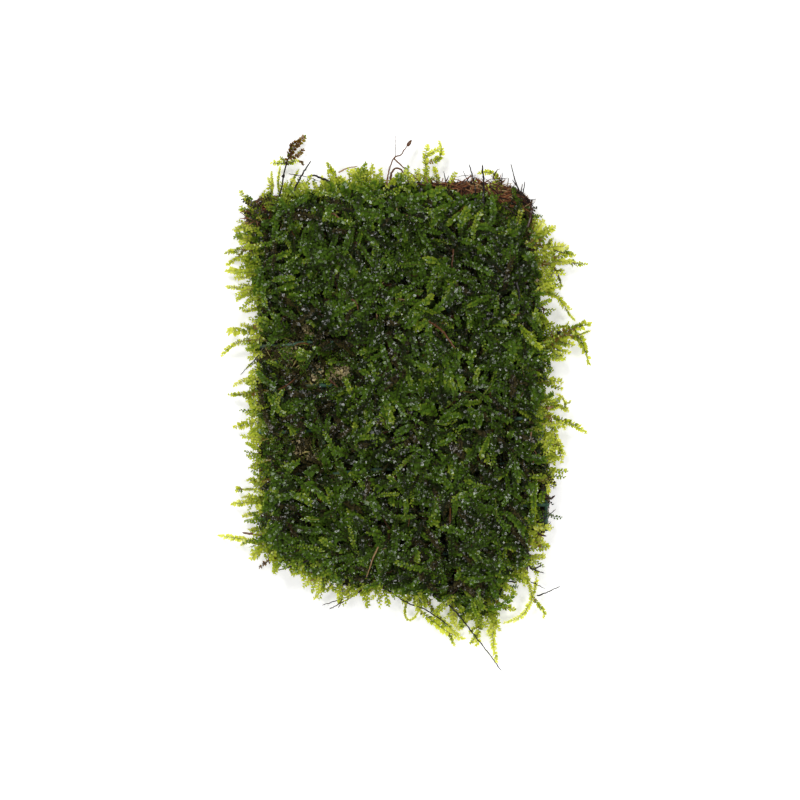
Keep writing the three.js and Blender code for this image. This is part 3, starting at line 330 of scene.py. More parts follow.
# Bare twigs, roots and bristles. Each length is its diameter, then its route.
TWIGS = {
    "leaning_twig": [[0.6, (-29, 55.2, 10.6), (-27.6, 59.6, 9.4), (-25, 64, 7.4), (-22.5, 67.8, 5.4)]],
    "curved_dark_stem": [
        [0.8, (-15.8, 57.6, 10.8), (-17.2, 60.8, 9.2), (-19.4, 62.2, 7.8), (-21.8, 63.3, 6.8),
         (-23.6, 63.1, 6.2)],
    ],
    "bud_stem": [
        [0.5, (-0.8, 57.4, 10.8), (-0.4, 61.6, 9.6), (1.6, 66.9, 7.6), (3.7, 67.9, 6.8), (4.9, 69.5, 6),
         (6, 70.8, 5.4)],
        [0.4, (1.7, 66.9, 7.5), (4.8, 63.9, 8), (7.4, 61.3, 8.8), (9.3, 59, 9.6)],
    ],
    "brown_arch": [
        [0.7, (1.2, 57.6, 9.2), (0.5, 61.4, 7.9), (1.4, 63.6, 6.8), (2.6, 64.3, 6.4), (3.9, 63.4, 6.7),
         (4.9, 61.6, 7.6), (5.8, 59.2, 9)],
    ],
    "long_bristle": [[0.5, (24.7, 52.6, 12), (24.9, 57.2, 10), (23.7, 64.2, 5.8)]],
    "black_bristle": [[0.7, (26.9, 51, 13), (27.3, 55.5, 11.6), (27.5, 59.8, 9.4), (27.4, 63.9, 7)]],
    "corner_bristles": [
        [0.45, (38.9, 51.6, 9), (38.3, 53.5, 8.9), (37.4, 56.5, 8.2), (36.4, 60.2, 7), (35.8, 63.9, 5.8)],
        [0.4, (38.3, 53.4, 8.9), (39, 55.8, 8.4), (39.6, 58.4, 7.4)],
        [0.4, (38.1, 54.4, 8.7), (38.4, 56, 8.3), (38.8, 57.7, 7.8)],
        [0.5, (38.2, 54, 8.8), (37, 55.7, 8.4), (36, 57, 8)],
        [0.4, (37.6, 56.2, 8.3), (36.7, 57.7, 7.9), (35.9, 59, 7.5)],
    ],
    "brown_corner_stalk": [
        [0.9, (39.6, 44.8, 11), (40.6, 47.6, 10.8), (41, 49.8, 10.2), (40.8, 51.4, 9.7), (41.4, 52.9, 9.2)],
    ],
    "mat_twig": [[0.9, (35.3, 28.9, 13.9), (35.9, 25.6, 14.2), (36.2, 22, 13.9)]],
    "right_brown_twig": [
        [0.5, (40, 22.4, 11.2), (42, 21.5, 10.4), (44.4, 20.4, 8.8)],
        [0.4, (42.9, 21, 10), (42.9, 17.8, 9.4), (42.6, 15.6, 10.2)],
    ],
    "brown_bark_bit": [[0.9, (39, -33.6, 9.4), (40.9, -34.2, 9.2), (42.4, -34.5, 8.8), (43.5, -33.7, 8.3)]],
    "right_bristle": [[0.4, (39.8, -40.6, 9.2), (41.7, -39.1, 8.7), (43.5, -37.7, 8.1)]],
    "lower_right_twigs": [
        [0.6, (34.6, -52.6, 9.4), (35.7, -54.9, 8.8), (38.6, -53.7, 7.6)],
        [0.45, (35.6, -54.7, 8.8), (37.2, -55.4, 8.4), (39.2, -56.2, 7.8)],
    ],
    "lower_right_fibre": [[0.4, (36.8, -62.7, 4.9), (37.9, -62.6, 4.7), (40.2, -61.8, 3.8), (44, -60.4, 3)]],
    "lower_left_twig": [
        [0.5, (-29.4, -48.6, 12), (-32.4, -49.9, 10.8), (-34.8, -50.5, 9.4), (-38.1, -51.2, 7),
         (-39.6, -51, 6)],
    ],
    "brown_root": [[0.5, (-6.8, -53.7, 13), (-12.3, -56.9, 11), (-18.4, -60.8, 7), (-24.1, -63.6, 3.4)]],
    "thin_root": [[0.4, (-12.8, -56.6, 9.6), (-14.8, -58.9, 8), (-20.7, -60.8, 3.8), (-26.1, -62.4, 1.8)]],
    "black_root": [
        [0.5, (-9.4, -56.4, 11), (-1.6, -62.3, 8.8), (2.5, -64.3, 8), (4.7, -65.4, 7.4), (10.5, -70, 5)],
    ],
    "long_black_root": [
        [0.45, (7.4, -60.8, 9.8), (12.9, -66.2, 8), (17.9, -73.2, 5.8), (22.9, -80.5, 3.4),
         (25.4, -84.4, 1.8)],
    ],
}

# Short shoots of the fringe, each as above
SHORT_SHOOTS = [
    [0.9, (-33.6, 60.6, 8.4), (-34.8, 62.2, 7.6), (-35.3, 63.4, 7)],
    [2, (-34.4, 59.4, 8.8), (-34.9, 60.6, 8.2), (-34.8, 61.6, 7.6)],
    [1.8, (-27.6, 57, 10.6), (-27, 60, 9), (-28.4, 62.4, 7.4)],
    [1.6, (-29.4, 57.4, 10.4), (-30.6, 59.4, 9), (-30.2, 61.2, 8)],
    [1.8, (-25.8, 57.2, 10.4), (-26.2, 59, 9.2), (-27.6, 60.4, 8.4)],
    [1.8, (-24.6, 56.6, 10.4), (-24.2, 58, 9.4), (-23.2, 58.8, 8.8)],
    [1.8, (-19.4, 56.6, 9.8), (-19.2, 57.6, 9.2), (-18.6, 58.4, 8.4)],
    [2.2, (-15.8, 58.4, 9.8), (-15, 60.4, 8.8), (-14.6, 62, 8)],
    [2.2, (-15.4, 60.4, 9.2), (-13.8, 61, 8.4), (-12.2, 61.2, 7.6)],
    [2, (-17.2, 59, 9.4), (-18.6, 61, 8.2), (-19.8, 62.4, 7.2)],
    [2, (-13.2, 58.6, 9.8), (-11.6, 59.4, 9), (-10.4, 60, 8.4)],
    [1.6, (-8.4, 60.6, 8.4), (-9.4, 62.4, 7.6), (-10.8, 64.4, 6.6)],
    [2, (-4.8, 58.6, 9.6), (-4.2, 60, 8.8), (-2.8, 60.6, 8.2)],
    [2, (-1.8, 57.8, 9.8), (-1.6, 60, 8.8), (-2.4, 61.4, 8)],
    [1.8, (1, 57.4, 9.8), (0.8, 59, 9), (0.2, 60.4, 8.2)],
    [2.2, (41, 42.6, 11.2), (43, 44.8, 10), (44, 46.6, 8.8)],
    [2.2, (42, 40, 11), (45.4, 42.8, 9.6), (47.6, 44.6, 8)],
    [2.4, (43, 37, 11), (46.6, 38.8, 9.6), (50.6, 38.6, 7.4)],
    [2.2, (43.6, 34, 10.8), (48, 34.4, 9), (52, 34.2, 6.6)],
    [1.8, (45.8, 36.6, 9.8), (48, 35.6, 8.6), (50, 36.2, 7.4)],
    [2, (41.6, 34.7, 11.2), (43.6, 32.4, 10), (44.9, 29.8, 8.6)],
    [2.2, (41.4, 30, 11), (44, 27, 9.4), (46, 24.4, 7.6)],
    [2, (42, 10, 10.8), (45.6, 11, 9), (48.6, 12.8, 7)],
    [1.8, (40.6, 44, 10.8), (41.6, 46, 10), (42.6, 48, 9)],
    [1.8, (41, -29, 10.4), (42.4, -27.4, 9.4), (43.4, -26, 8.4)],
    [1.8, (35.6, -49, 9.6), (38, -47.4, 8.8), (40.2, -47.6, 7.8)],
    [1.6, (36, -50.6, 9), (37.8, -51.2, 8), (39.6, -51, 7)],
    [1.6, (37, -48.2, 9.2), (38.2, -46.6, 8.4), (39, -44.8, 7.4)],
    [1.8, (25, -58, 8.8), (27, -59, 7.8), (28.6, -59.6, 6.8)],
    [1.6, (11.6, -62, 8.2), (12.2, -66, 6.8), (12.2, -69, 5.6), (13.4, -71.6, 4.4)],
    [1.8, (-35.4, 54, 10.6), (-36.2, 57, 9), (-36.6, 59.4, 7.2)],
    [1.7, (-39, 49, 10.4), (-43, 49, 8.8), (-46.3, 48.7, 6.2)],
    [2, (-39, 45.6, 10), (-42.4, 46, 8.6), (-44.8, 46, 7)],
    [1.3, (-38.6, 25.2, 10.6), (-42, 25, 9), (-44.8, 24.9, 6.8)],
    [1.4, (-38.6, 11.4, 10), (-41, 12.4, 8.8), (-43, 12.6, 7.6)],
    [1.2, (-39, -3, 10.4), (-42.6, -2.6, 8.4), (-45, -1.4, 6.4)],
    [2, (-39, -12.8, 10.4), (-41.6, -13.4, 9), (-43.4, -13, 7.6)],
    [1.8, (-38.8, -24.8, 10.9), (-43, -25.2, 9.6), (-45.8, -24.4, 7)],
    [1.6, (-38.8, -33.8, 10.4), (-43, -34.2, 8.4), (-47.9, -35, 4.4)],
    [1.1, (-39.4, -38.4, 10.2), (-43, -38.6, 8.6), (-46.4, -39, 6.4)],
    [1.6, (-23, -53.4, 10), (-26, -57.6, 7.6), (-28.3, -60.2, 4.8)],
    [1.6, (-14.6, -55.6, 9.6), (-17.4, -58.2, 7.6), (-19.2, -59.4, 6.4)],
    [1.5, (-9, -56.6, 10), (-12, -58.6, 8), (-14.6, -59.6, 6)],
    [1.8, (22.4, -62, 8.4), (26, -65, 6), (30.2, -66.5, 3.2)],
    [1.6, (22, -59, 9), (26, -60, 7.4), (28.8, -60.4, 5.6)],
    [1.6, (11, -62.6, 8), (12.2, -66.6, 6.4), (12.6, -69, 5.2)],
    [0.9, (-35, 54.6, 10.4), (-34.2, 60, 8), (-34.2, 65.2, 5)],
    [1.3, (-20.6, 56.4, 10.4), (-21.2, 59, 8.8), (-22.2, 61.4, 7.2)],
    [1.8, (-18.6, 56.6, 8.6), (-19, 59.6, 6.6), (-19.6, 62.4, 4.4)],
    [1.4, (-2, 57.6, 10), (-2.4, 61.2, 8), (-2.2, 64.4, 5.6)],
    [1.7, (14.8, 57.4, 10.4), (14, 61, 8.4), (13.4, 63.8, 6.8)],
    [1.8, (38.4, 40, 11.4), (42.6, 41.6, 10), (45.1, 44.2, 7.8)],
    [2.2, (40.6, 28.8, 10.8), (43.4, 28.2, 9.6), (45.2, 27.4, 8)],
    [2, (33, -41, 11.2), (38, -42.2, 10.8), (42.3, -43, 8.4)],
    [1.4, (32.6, -50.4, 10.6), (36.2, -51.3, 9.8), (39.5, -51.8, 7.6)],
]

# Thin twigs, fibres and stems beside the ones above: diameter, bark tone, route
FINE_TWIGS = [
    [0.5, 0.85, (-14.6, 63.8, 6), (-12.2, 64.8, 5.6), (-8.9, 65.5, 5)],
    [0.6, 0.65, (-0.4, 59.6, 7.2), (3.5, 61.7, 5.6)],
    [0.8, 0.6, (11.2, 59.3, 7.4), (10.4, 60.8, 7.6), (9.4, 61.8, 7.6), (8, 62, 7.2)],
    [0.5, 0.45, (18.2, 57.8, 8.2), (22.3, 58.8, 7.8), (25.3, 58.8, 7.7)],
    [0.35, 0.3, (30.4, 59.4, 8.4), (31.1, 61.6, 7), (32.6, 62.4, 6.4)],
    [0.5, 0.3, (32.8, 51.4, 11.4), (34.8, 49.9, 11.8), (36.6, 48.4, 11.4)],
    [0.7, 0.55, (34.3, 54.3, 9.4), (36.9, 54, 9.8), (39.4, 53.5, 9.2)],
    [0.4, 0.3, (42.3, 26.8, 11), (41.3, 25.5, 11.4)],
    [0.3, 0.1, (-40.4, 11.8, 10.4), (-42.3, 10, 10), (-46.3, 6.2, 8)],
    [0.9, 0.6, (-38.6, -41.2, 10.6), (-40.5, -41, 10.3), (-43.7, -40.6, 9.4), (-48.2, -39.8, 5.5)],
    [0.4, 0.3, (-19.7, -55.5, 10.2), (-20.2, -60.2, 7.4), (-21.3, -63.4, 5.2)],
    [0.35, 0.3, (-22.8, -55.9, 9.6), (-24.1, -57.5, 8.6)],
    [0.4, 0.75, (-8.7, -45.8, 14.4), (-10, -48.1, 14.8), (-12.7, -54.5, 13.2)],
    [0.35, 0.3, (-32.9, -50.4, 10.6), (-32.6, -52.9, 9.4)],
    [0.35, 0.4, (-29.3, -51.9, 11), (-27.7, -53.1, 11.2)],
    [0.4, 0.75, (-29.1, -54.7, 9), (-26.1, -54.2, 9.8)],
    [1, 0.05, (27.9, -56.1, 9.4), (30, -55.8, 9.4)],
    [0.6, 0.1, (27.8, -58, 8.2), (31.1, -58.3, 7.6)],
    [0.35, 0.2, (26.6, -61.7, 6.6), (27.7, -61.8, 6.4)],
    [0.3, 0.15, (35.2, -58.6, 7), (36.7, -59.3, 6.2), (39.4, -60.9, 4.4)],
    [0.4, 0.75, (37.3, -13.8, 12), (37.6, -18.5, 12.2), (39, -22.1, 11)],
    [0.7, 0.4, (38, -44.6, 8.6), (40.5, -45.4, 8.2)],
    [0.5, 0.4, (36.3, -2.2, 13.8), (34.6, -4.8, 13.8)],
    [0.8, 0.8, (42.6, -8.3, 10.4), (44.4, -7.7, 9.2)],
    [1, 0.05, (46.7, 13.6, 8.6), (48, 13.8, 8)],
    [0.6, 0.4, (41, -21.6, 10.4), (41.8, -21, 10)],
    [0.25, 0.35, (-29.2, 64.2, 6.4), (-24.5, 63.2, 6.8), (-19.9, 61.4, 7.6)],
    [0.2, 0.4, (1.8, 66.6, 7.4), (2.1, 67.6, 7.2), (2.6, 74.1, 5.6)],
    [0.7, 0.5, (9.4, 19, 14.6), (13.2, 15.9, 15), (15, 13, 14.8), (16.6, 10.6, 14.4)],
    [0.5, 0.6, (10.2, 18.4, 14.8), (12, 18.2, 15), (14.1, 18, 14.6)],
    [0.5, 0.5, (-12.7, 26.4, 14.4), (-11.4, 25.4, 14.8), (-10.9, 23, 14.4)],
    [0.5, 0.5, (17.6, 39.4, 14.6), (17.2, 36.6, 15), (16.9, 34, 14.4)],
    [0.45, 0.5, (11.2, 39.8, 14.4), (12.5, 37.1, 14.6)],
    [0.6, 0.45, (-20.3, 3.4, 10.6), (-17.5, 0.7, 11.4)],
    [0.6, 0.75, (-19.5, 50, 13.6), (-17, 51.6, 14), (-13.5, 48.7, 13.8)],
    [0.3, 0.4, (-28.6, 71.6, 4.2), (-28, 72.8, 3.6), (-26.4, 73.6, 3.2)],
    [0.9, 0.1, (-30.9, 63.3, 6.9), (-30.6, 64.2, 6.4)],
]

# Fronds on top of the moss: width, tone and route, which follows the moss's height
TOP_FRONDS = [
    [2, 0.72, (-26.5, 56), (-29.5, 60)],
    [1.8, 0.72, (-25, 55.8), (-27, 58.6)],
    [1.8, 0.7, (-24, 56), (-23.6, 58.8)],
    [2.4, 0.62, (-15.5, 56.5), (-17.5, 60.5)],
    [2.6, 0.58, (-12, 56.5), (-13.5, 60)],
    [2.2, 0.62, (-5, 56), (-9, 59)],
    [2, 0.66, (-3, 58), (-5, 60.4)],
    [1.8, 0.5, (-32, 50.5), (-37.5, 50)],
    [1.8, 0.2, (-24, 53), (-30, 54.6)],
    [2.2, 0.56, (-20, 46.5), (-18.2, 50.8)],
    [1.8, 0.56, (-21, 51.5), (-24, 48)],
    [2.2, 0.58, (-1, 50.4), (-6, 51.6), (-12, 52.3)],
    [1.8, 0.52, (0, 49.2), (-5, 49.4), (-9.8, 50.4)],
    [2.4, 0.6, (3, 52.5), (-2, 53.8), (-6.5, 55.2)],
    [1.8, 0.5, (2.5, 55.5), (-3.5, 56.8)],
    [1.8, 0.5, (-27, 46), (-29.4, 49.4)],
    [2.4, 0.56, (-14, 36.6), (-19, 38), (-24.6, 39.6)],
    [2, 0.54, (-13, 38.6), (-17.5, 39.6)],
    [2.2, 0.6, (-8.2, 33.4), (-11.5, 36.6), (-15.2, 40.6)],
    [1.8, 0.54, (-6.8, 31.6), (-9, 34.4), (-13, 38.4)],
    [2.2, 0.6, (-4.4, 28), (-4.6, 32), (-5.2, 36.6)],
    [1.6, 0.55, (-9.6, 42.5), (-8, 39.4), (-5.6, 36)],
    [2.6, 0.6, (10, 52), (12.6, 54), (16, 57)],
    [2.4, 0.55, (5, 53), (2, 56)],
    [1.6, 0.6, (25.4, 49), (23.5, 51.5), (21.4, 53.6)],
    [2.2, 0.52, (16.8, 49.6), (10.5, 50.2)],
    [2.2, 0.62, (18, 46.8), (19.6, 48), (24, 48.9)],
    [2.4, 0.58, (25.5, 46), (28.6, 44)],
    [2.2, 0.54, (24, 35), (26.2, 39.2)],
    [2.2, 0.6, (15.6, 30), (14.4, 35.8)],
    [2.2, 0.56, (17.6, 29), (16.8, 33.6)],
    [1.8, 0.54, (6.4, 31), (6.6, 35)],
    [2.6, 0.56, (40.4, 33), (38.4, 37.6)],
    [2.2, 0.6, (33, 42), (37, 44)],
    [1.4, 0.6, (31.6, 34.6), (33.4, 39), (35, 42)],
    [2.4, 0.54, (2, 44.5), (5.5, 42.5)],
    [2, 0.5, (29, 46.5), (29.4, 50)],
    [2.4, 0.6, (-25.4, 27.2), (-30.6, 28.2)],
    [2, 0.52, (-22.5, 24), (-24, 27.4)],
    [2, 0.54, (-15, 22), (-19.5, 25)],
    [2, 0.46, (-28.4, 21.6), (-33.4, 24.6)],
    [2, 0.46, (-30.8, 18), (-37.4, 16.4)],
    [2, 0.72, (-36.5, 20.8), (-39.6, 22.2)],
    [1.4, 0.7, (-34.5, 8), (-38, 9.8)],
    [2.2, 0.68, (-24, 10.6), (-29, 12.2)],
    [2.2, 0.64, (-25, 9.6), (-29.6, 10.8)],
    [2.2, 0.54, (-20.4, 11.2), (-24, 12.4)],
    [1.6, 0.62, (-17.6, 9.2), (-20.8, 8.4)],
    [2, 0.58, (-5.4, 5.6), (-8, 9)],
    [1.2, 0.6, (-3.4, 6.4), (-0.4, 9.6)],
    [1.2, 0.58, (-9.4, 2.4), (-7.6, -1)],
    [2, 0.56, (-13.6, -1.6), (-10.4, 0.4)],
    [2, 0.58, (-17.6, -5.6), (-18, -1.6)],
    [1.6, 0.52, (-1.2, 26), (-3.6, 28.6)],
    [1.6, 0.58, (-5.4, 22), (-2.2, 23)],
    [1.6, 0.5, (-12.6, 13.6), (-16.4, 10.4)],
    [2.6, 0.6, (6, 20.6), (10, 21.2), (13.4, 23.2), (16, 26.2)],
    [1.8, 0.56, (7.4, 19.4), (5.6, 22.8)],
    [2.2, 0.58, (2.6, 9.6), (2.2, 12.8), (1.4, 15)],
    [2, 0.5, (1.8, 9.5), (0.6, 5.4)],
    [1.8, 0.56, (9.9, 6), (9.2, 9.4), (8.8, 12.8)],
    [1.8, 0.54, (15.8, -5), (16.2, 0.4)],
    [1.8, 0.62, (16, 2), (16.6, 6), (17.2, 10.4)],
    [1.8, 0.56, (20.6, 10.4), (22.2, 12)],
    [2.2, 0.58, (27, 8.6), (30, 7.6)],
    [2.2, 0.54, (26.4, 10), (28.6, 9)],
    [2.2, 0.58, (34.6, 9.8), (36.8, 8.8)],
    [2.2, 0.52, (19.6, 5), (22, 3.4)],
    [1.8, 0.6, (16.6, 3.4), (18.8, 1.2)],
    [2.2, 0.56, (0.4, 3.4), (3, 0.6), (6.4, -1.2)],
    [2.2, 0.6, (7, -5.8), (9.6, -3.8)],
    [2.2, 0.54, (32, -4), (29.5, -2), (26.4, -2.4)],
    [1.8, 0.54, (27.6, 5.6), (27, 8.4)],
    [1.6, 0.52, (31.4, 2.2), (31.2, 5.2)],
    [2, 0.56, (1.2, -5), (4.2, -3.4)],
    [2.2, 0.6, (-17.6, -14), (-14.2, -11.4)],
    [2.4, 0.56, (-11.4, -16), (-13.2, -12.4)],
    [2, 0.58, (-10, -16.8), (-7.6, -18.8), (-5.6, -19.4)],
    [2, 0.52, (-9.6, -19), (-12.6, -18.8)],
    [2.6, 0.54, (-15.8, -18.6), (-19.6, -17)],
    [2, 0.54, (-16.6, -26), (-18.4, -22.4), (-19.4, -19.6)],
    [2.4, 0.5, (-22, -24), (-22.6, -20)],
    [2.6, 0.5, (-24.8, -21.6), (-28.4, -23.4)],
    [2.6, 0.58, (-25, -26.6), (-29.6, -27.4)],
    [2, 0.7, (-34.6, -27.4), (-37, -29), (-39.6, -28)],
    [2.4, 0.56, (-34.4, -22.4), (-38.8, -24)],
    [2, 0.54, (-29.6, -29.4), (-27.4, -33)],
    [2.2, 0.6, (-29, -35), (-31.2, -33)],
    [1.8, 0.54, (-21.6, -16.4), (-24.4, -19.4)],
    [2, 0.52, (-27.6, -13), (-29.8, -10.6)],
    [2, 0.48, (-24.6, -13), (-25.4, -10.4)],
    [1.8, 0.6, (-14.4, -8.2), (-17.6, -9.2)],
    [2.2, 0.58, (-8, -26.6), (-11.2, -27.4)],
    [2.2, 0.58, (-5.6, -27), (-8.6, -29.4)],
    [2, 0.54, (-11, -25.6), (-12.4, -22.8)],
    [2, 0.56, (-18.6, -34.6), (-20.8, -33)],
    [2.2, 0.58, (-31.4, -6.6), (-30.8, -3.6)],
    [2, 0.58, (-30.6, -34.6), (-28, -36.2), (-25.6, -37.6)],
    [2.4, 0.58, (-19.8, -38.8), (-16.4, -37.8)],
    [2.2, 0.6, (-7.4, -42.4), (-11.4, -40.8)],
    [2, 0.6, (-4.6, -42.4), (-3, -39.6)],
    [2, 0.6, (-17.6, -46.4), (-16.4, -49)],
    [2.2, 0.6, (-14.6, -49), (-12.4, -51)],
    [2.4, 0.6, (-9, -50.4), (-7.4, -52.4)],
    [2, 0.72, (-36, -48), (-38.6, -49.8)],
    [1.6, 0.72, (-35, -49), (-36.6, -50.6)],
    [1.6, 0.7, (-5.6, -57.4), (-3.8, -59.4)],
    [1.6, 0.7, (-1.6, -57.8), (-2.6, -61)],
    [2.8, 0.58, (9.8, -9), (8.6, -7), (5.8, -6.8)],
    [1.8, 0.54, (9.8, -12.8), (12.4, -13.8), (15.2, -14.8)],
    [1.8, 0.54, (24.6, -9.6), (26.8, -13)],
    [2, 0.54, (20.4, -19), (23, -17.2), (25.8, -15.2)],
    [2, 0.52, (15.4, -23), (18.2, -21.4), (20.6, -20)],
    [2.2, 0.56, (1.8, -21.4), (4.6, -18.6)],
    [2.4, 0.6, (8.6, -21), (10, -23.6), (11.4, -25.2)],
    [2.2, 0.56, (6.4, -23.4), (3, -24.2), (1.4, -25.4)],
    [2.2, 0.62, (8.6, -27.6), (11.8, -27)],
    [1.8, 0.6, (14.6, -26.2), (18, -27.4), (20.6, -28.8)],
    [2.2, 0.6, (0.6, -32.4), (5, -33.6), (10.4, -32.8)],
    [2.4, 0.58, (-3.6, -34.2), (-0.6, -32.8)],
    [2.2, 0.58, (16.8, -34.4), (19.6, -31.8)],
    [2.2, 0.58, (16.4, -33.6), (18.4, -36), (20.4, -37.2)],
    [2, 0.56, (13.8, -34.6), (15, -32.2)],
    [1.8, 0.54, (3.6, -36.8), (9, -37.6)],
    [2, 0.58, (30.6, -16.8), (31.6, -14.4)],
    [2.4, 0.56, (34.8, -18), (31, -18.8)],
    [2, 0.62, (38, -19), (35.2, -17.4)],
    [1.8, 0.12, (10.3, -41.8), (12.2, -43.8), (14, -46.6), (16.6, -50)],
    [2.4, 0.66, (9.3, -55.6), (5.6, -56.8), (1.6, -58.8)],
    [2.2, 0.62, (14.4, -55), (16.8, -58.6)],
    [2, 0.6, (11.6, -48.2), (16, -49)],
    [2.2, 0.56, (27.4, -41), (29.6, -42.6)],
    [2, 0.54, (35.2, -38), (33.4, -42), (32.4, -46.4)],
    [1.8, 0.54, (36.6, -37), (36, -41)],
    [2, 0.56, (37.2, -34), (35.6, -30)],
    [2, 0.68, (38.4, -27.4), (37.4, -32), (37, -39.6)],
    [1.8, 0.66, (40, -32), (39.4, -35.4)],
]


# Shapes in numbers


def smooth_route(points, step):
    """Points about a step apart on the smooth curve through the given points."""
    points = np.asarray(points, float)
    around = np.vstack([2 * points[0] - points[1], points, 2 * points[-1] - points[-2]])
    t = np.linspace(0, 1, 16, endpoint=False)[:, None]
    dense = [
        b + ((c - a) * t + (2 * a - 5 * b + 4 * c - d) * t**2 + (3 * b - a - 3 * c + d) * t**3) / 2
        for a, b, c, d in zip(around, around[1:], around[2:], around[3:])
    ]
    dense = np.vstack([*dense, points[-1:]])
    along = np.r_[0, np.cumsum(np.linalg.norm(np.diff(dense, axis=0), axis=1))]
    even = np.linspace(0, along[-1], max(3, round(along[-1] / step)) + 1)
    return np.column_stack([np.interp(even, along, column) for column in dense.T])


def spread(points, t):
    """Points at shares t of the way along the smooth curve through points."""
    route = smooth_route(points, 0.5)
    at = t * (len(route) - 1)
    return np.column_stack([np.interp(at, np.arange(len(route)), column) for column in route.T])


def unit(vectors):
    """Vectors of length 1 with the same directions."""
    return vectors / np.maximum(np.linalg.norm(vectors, axis=-1, keepdims=True), 1e-9)


def directions(paths, roll=0.0):
    """Forward, side and top directions at each point of paths, which are rows of points."""
    forward = unit(np.gradient(paths, axis=1))
    side = np.cross(UP, forward)
    upright = np.linalg.norm(side, axis=-1, keepdims=True) < 0.1
    side = unit(np.where(upright, np.cross([1.0, 0, 0.1], forward), side))
    top = np.cross(forward, side)
    cos, sin = np.cos(roll), np.sin(roll)
    return forward, cos * side + sin * top, cos * top - sin * side


def rods(paths, radii, sides=3):
    """Vertices and faces of round rods along paths, closed at both ends."""
    count, steps, _ = paths.shape
    _, side, top = directions(paths)
    angles = 2 * np.pi * np.arange(sides) / sides
    ring = np.cos(angles)[:, None] * side[:, :, None] + np.sin(angles)[:, None] * top[:, :, None]
    vertices = paths[:, :, None] + np.broadcast_to(radii, (count, steps))[..., None, None] * ring
    number = np.arange(count * steps * sides).reshape(count, steps, sides)
    near, far = number[:, :-1], number[:, 1:]
    walls = np.stack([near, np.roll(near, -1, 2), np.roll(far, -1, 2), far], -1).reshape(-1, 4)
    caps = np.concatenate([number[:, 0, ::-1], number[:, -1]])
    return vertices.reshape(-1, 3), walls.tolist() + caps.tolist()


def toned_rods(paths, radii, tones, sides=3):
    """Rods as vertices, faces and tones, from one tone for each rod."""
    vertices, faces = rods(paths, radii, sides)
    return vertices, faces, np.repeat(tones, len(vertices) // len(paths))


def tapering(steps, root, tip):
    """Widths of a stem as shares of its full one, from its root to its tip."""
    t = np.linspace(0, 1, steps)
    return np.minimum(1, np.minimum(root + 2.4 * t, tip + 2.4 * (1 - t)))


# Shapes of a leaf: how far along it each pair of edge vertices is, and how wide there
PLAIN_LEAF = [(0.55, 1.0)]
FULL_LEAF = [(0.3, 0.9), (0.66, 0.64)]
# Faces of each. Vertex 0 is its foot, then come the edges' vertices, side by side, and the tip is last.
LEAF_FACES = {1: [[0, 2, 3], [0, 3, 1]], 2: [[0, 2, 1], [1, 2, 4, 3], [3, 4, 5]]}


def leaves(stem, reach, pitch, shape, breadth, rng, spreading=56, roll=0.0):
    """Leaves on both sides of stems, which are rows of points.

    Each row has its own reach to the side, the breadth is half a leaf's width over its length, and the
    leaves spread by an angle in degrees. Gives vertices, faces and how far along its stem each vertex is.
    """
    rows, steps, _ = stem.shape
    forward, side, top = directions(stem, roll)
    length = np.linalg.norm(np.diff(stem, axis=1), axis=2).sum(1).mean()
    count = 2 * max(3, round(length / pitch))
    t = (np.arange(count) + 0.9) / count
    hand = np.where(np.arange(count) % 2, 1.0, -1.0)[None, :, None]
    at = t * (steps - 1)
    low = np.minimum(at.astype(int), steps - 2)
    share = (at - low)[None, :, None]

    def sample(values):
        return values[:, low] * (1 - share) + values[:, low + 1] * share

    def jitter(size):
        return rng.normal(0, size, (rows, count, 1))

    foot, forward, side, top = (sample(values) for values in (stem, forward, side, top))
    # Leaves are shorter at both ends of a stem and close up at its tip
    width = np.minimum(1, np.minimum(0.6 + 2 * t, 0.64 + 2.6 * (1 - t)))[None, :, None]
    fan = np.radians(spreading * (1 - 0.55 * np.clip(6 * t - 5, 0, 1)))[None, :, None] + jitter(0.17)
    # Each rises from the plane of its stem and turns about its own length
    lift = 0.32 + jitter(0.26)
    out = unit(hand * side * np.cos(lift) + top * np.sin(lift))
    way = unit(np.cos(fan) * forward + np.sin(fan) * out)
    facing = unit(np.cross(way, hand * -np.cross(way, top + 0.6 * jitter(0.5) * forward)))
    facing = facing * np.sign((facing * top).sum(-1, keepdims=True))
    across = np.cross(facing, way)
    size = reach[:, None, None] * width * (1.12 + jitter(0.12))
    half = breadth * size
    # The foot is sunk in the stem, and the edges and the tip curl down
    vertices = [foot - 0.04 * size * way]
    for station, wide in shape:
        for turn in (1, -1):
            edge = foot + station * size * way + turn * wide * half * across
            vertices.append(edge - (0.16 * size * station**2 + 0.06 * half) * facing)
    vertices.append(foot + size * way - 0.24 * size * facing)
    vertices = np.stack(vertices, 2)
    corners = vertices.shape[2]
    start = corners * np.arange(rows * count)
    faces = [face for part in LEAF_FACES[len(shape)] for face in (start[:, None] + part).tolist()]
    along = np.broadcast_to(t[None, :, None], (rows, count, corners))
    return vertices.reshape(-1, 3), faces, along.reshape(rows, -1)


def leaf_tones(tones, uneven, lit, rng):
    """Tones made uneven from leaf to leaf, and lighter or darker at each corner of a leaf as painted light
    and shade.
    """
    each = rng.normal(0, uneven, (tones.shape[0], tones.shape[1] // len(lit)))
    return tones + np.repeat(each, len(lit), 1) + np.tile(lit, each.shape[1])


def joined(parts):
    """One list of vertices, faces and tones from several, each vertices, faces and a tone for each vertex."""
    vertices, faces, tones, start = [], [], [], 0
    for points, polygons, tone in parts:
        faces += [[corner + start for corner in face] for face in polygons] if start else polygons
        vertices.append(points)
        tones.append(np.broadcast_to(tone, len(points)))
        start += len(points)
    return np.vstack(vertices), faces, np.concatenate(tones)


def give_tones(mesh, tones):
    """Keeps in a mesh how dark or light each vertex is, which the materials read."""
    tone = mesh.attributes.new("tone", "FLOAT", "POINT")
    tone.data.foreach_set("value", np.asarray(tones, np.float32))


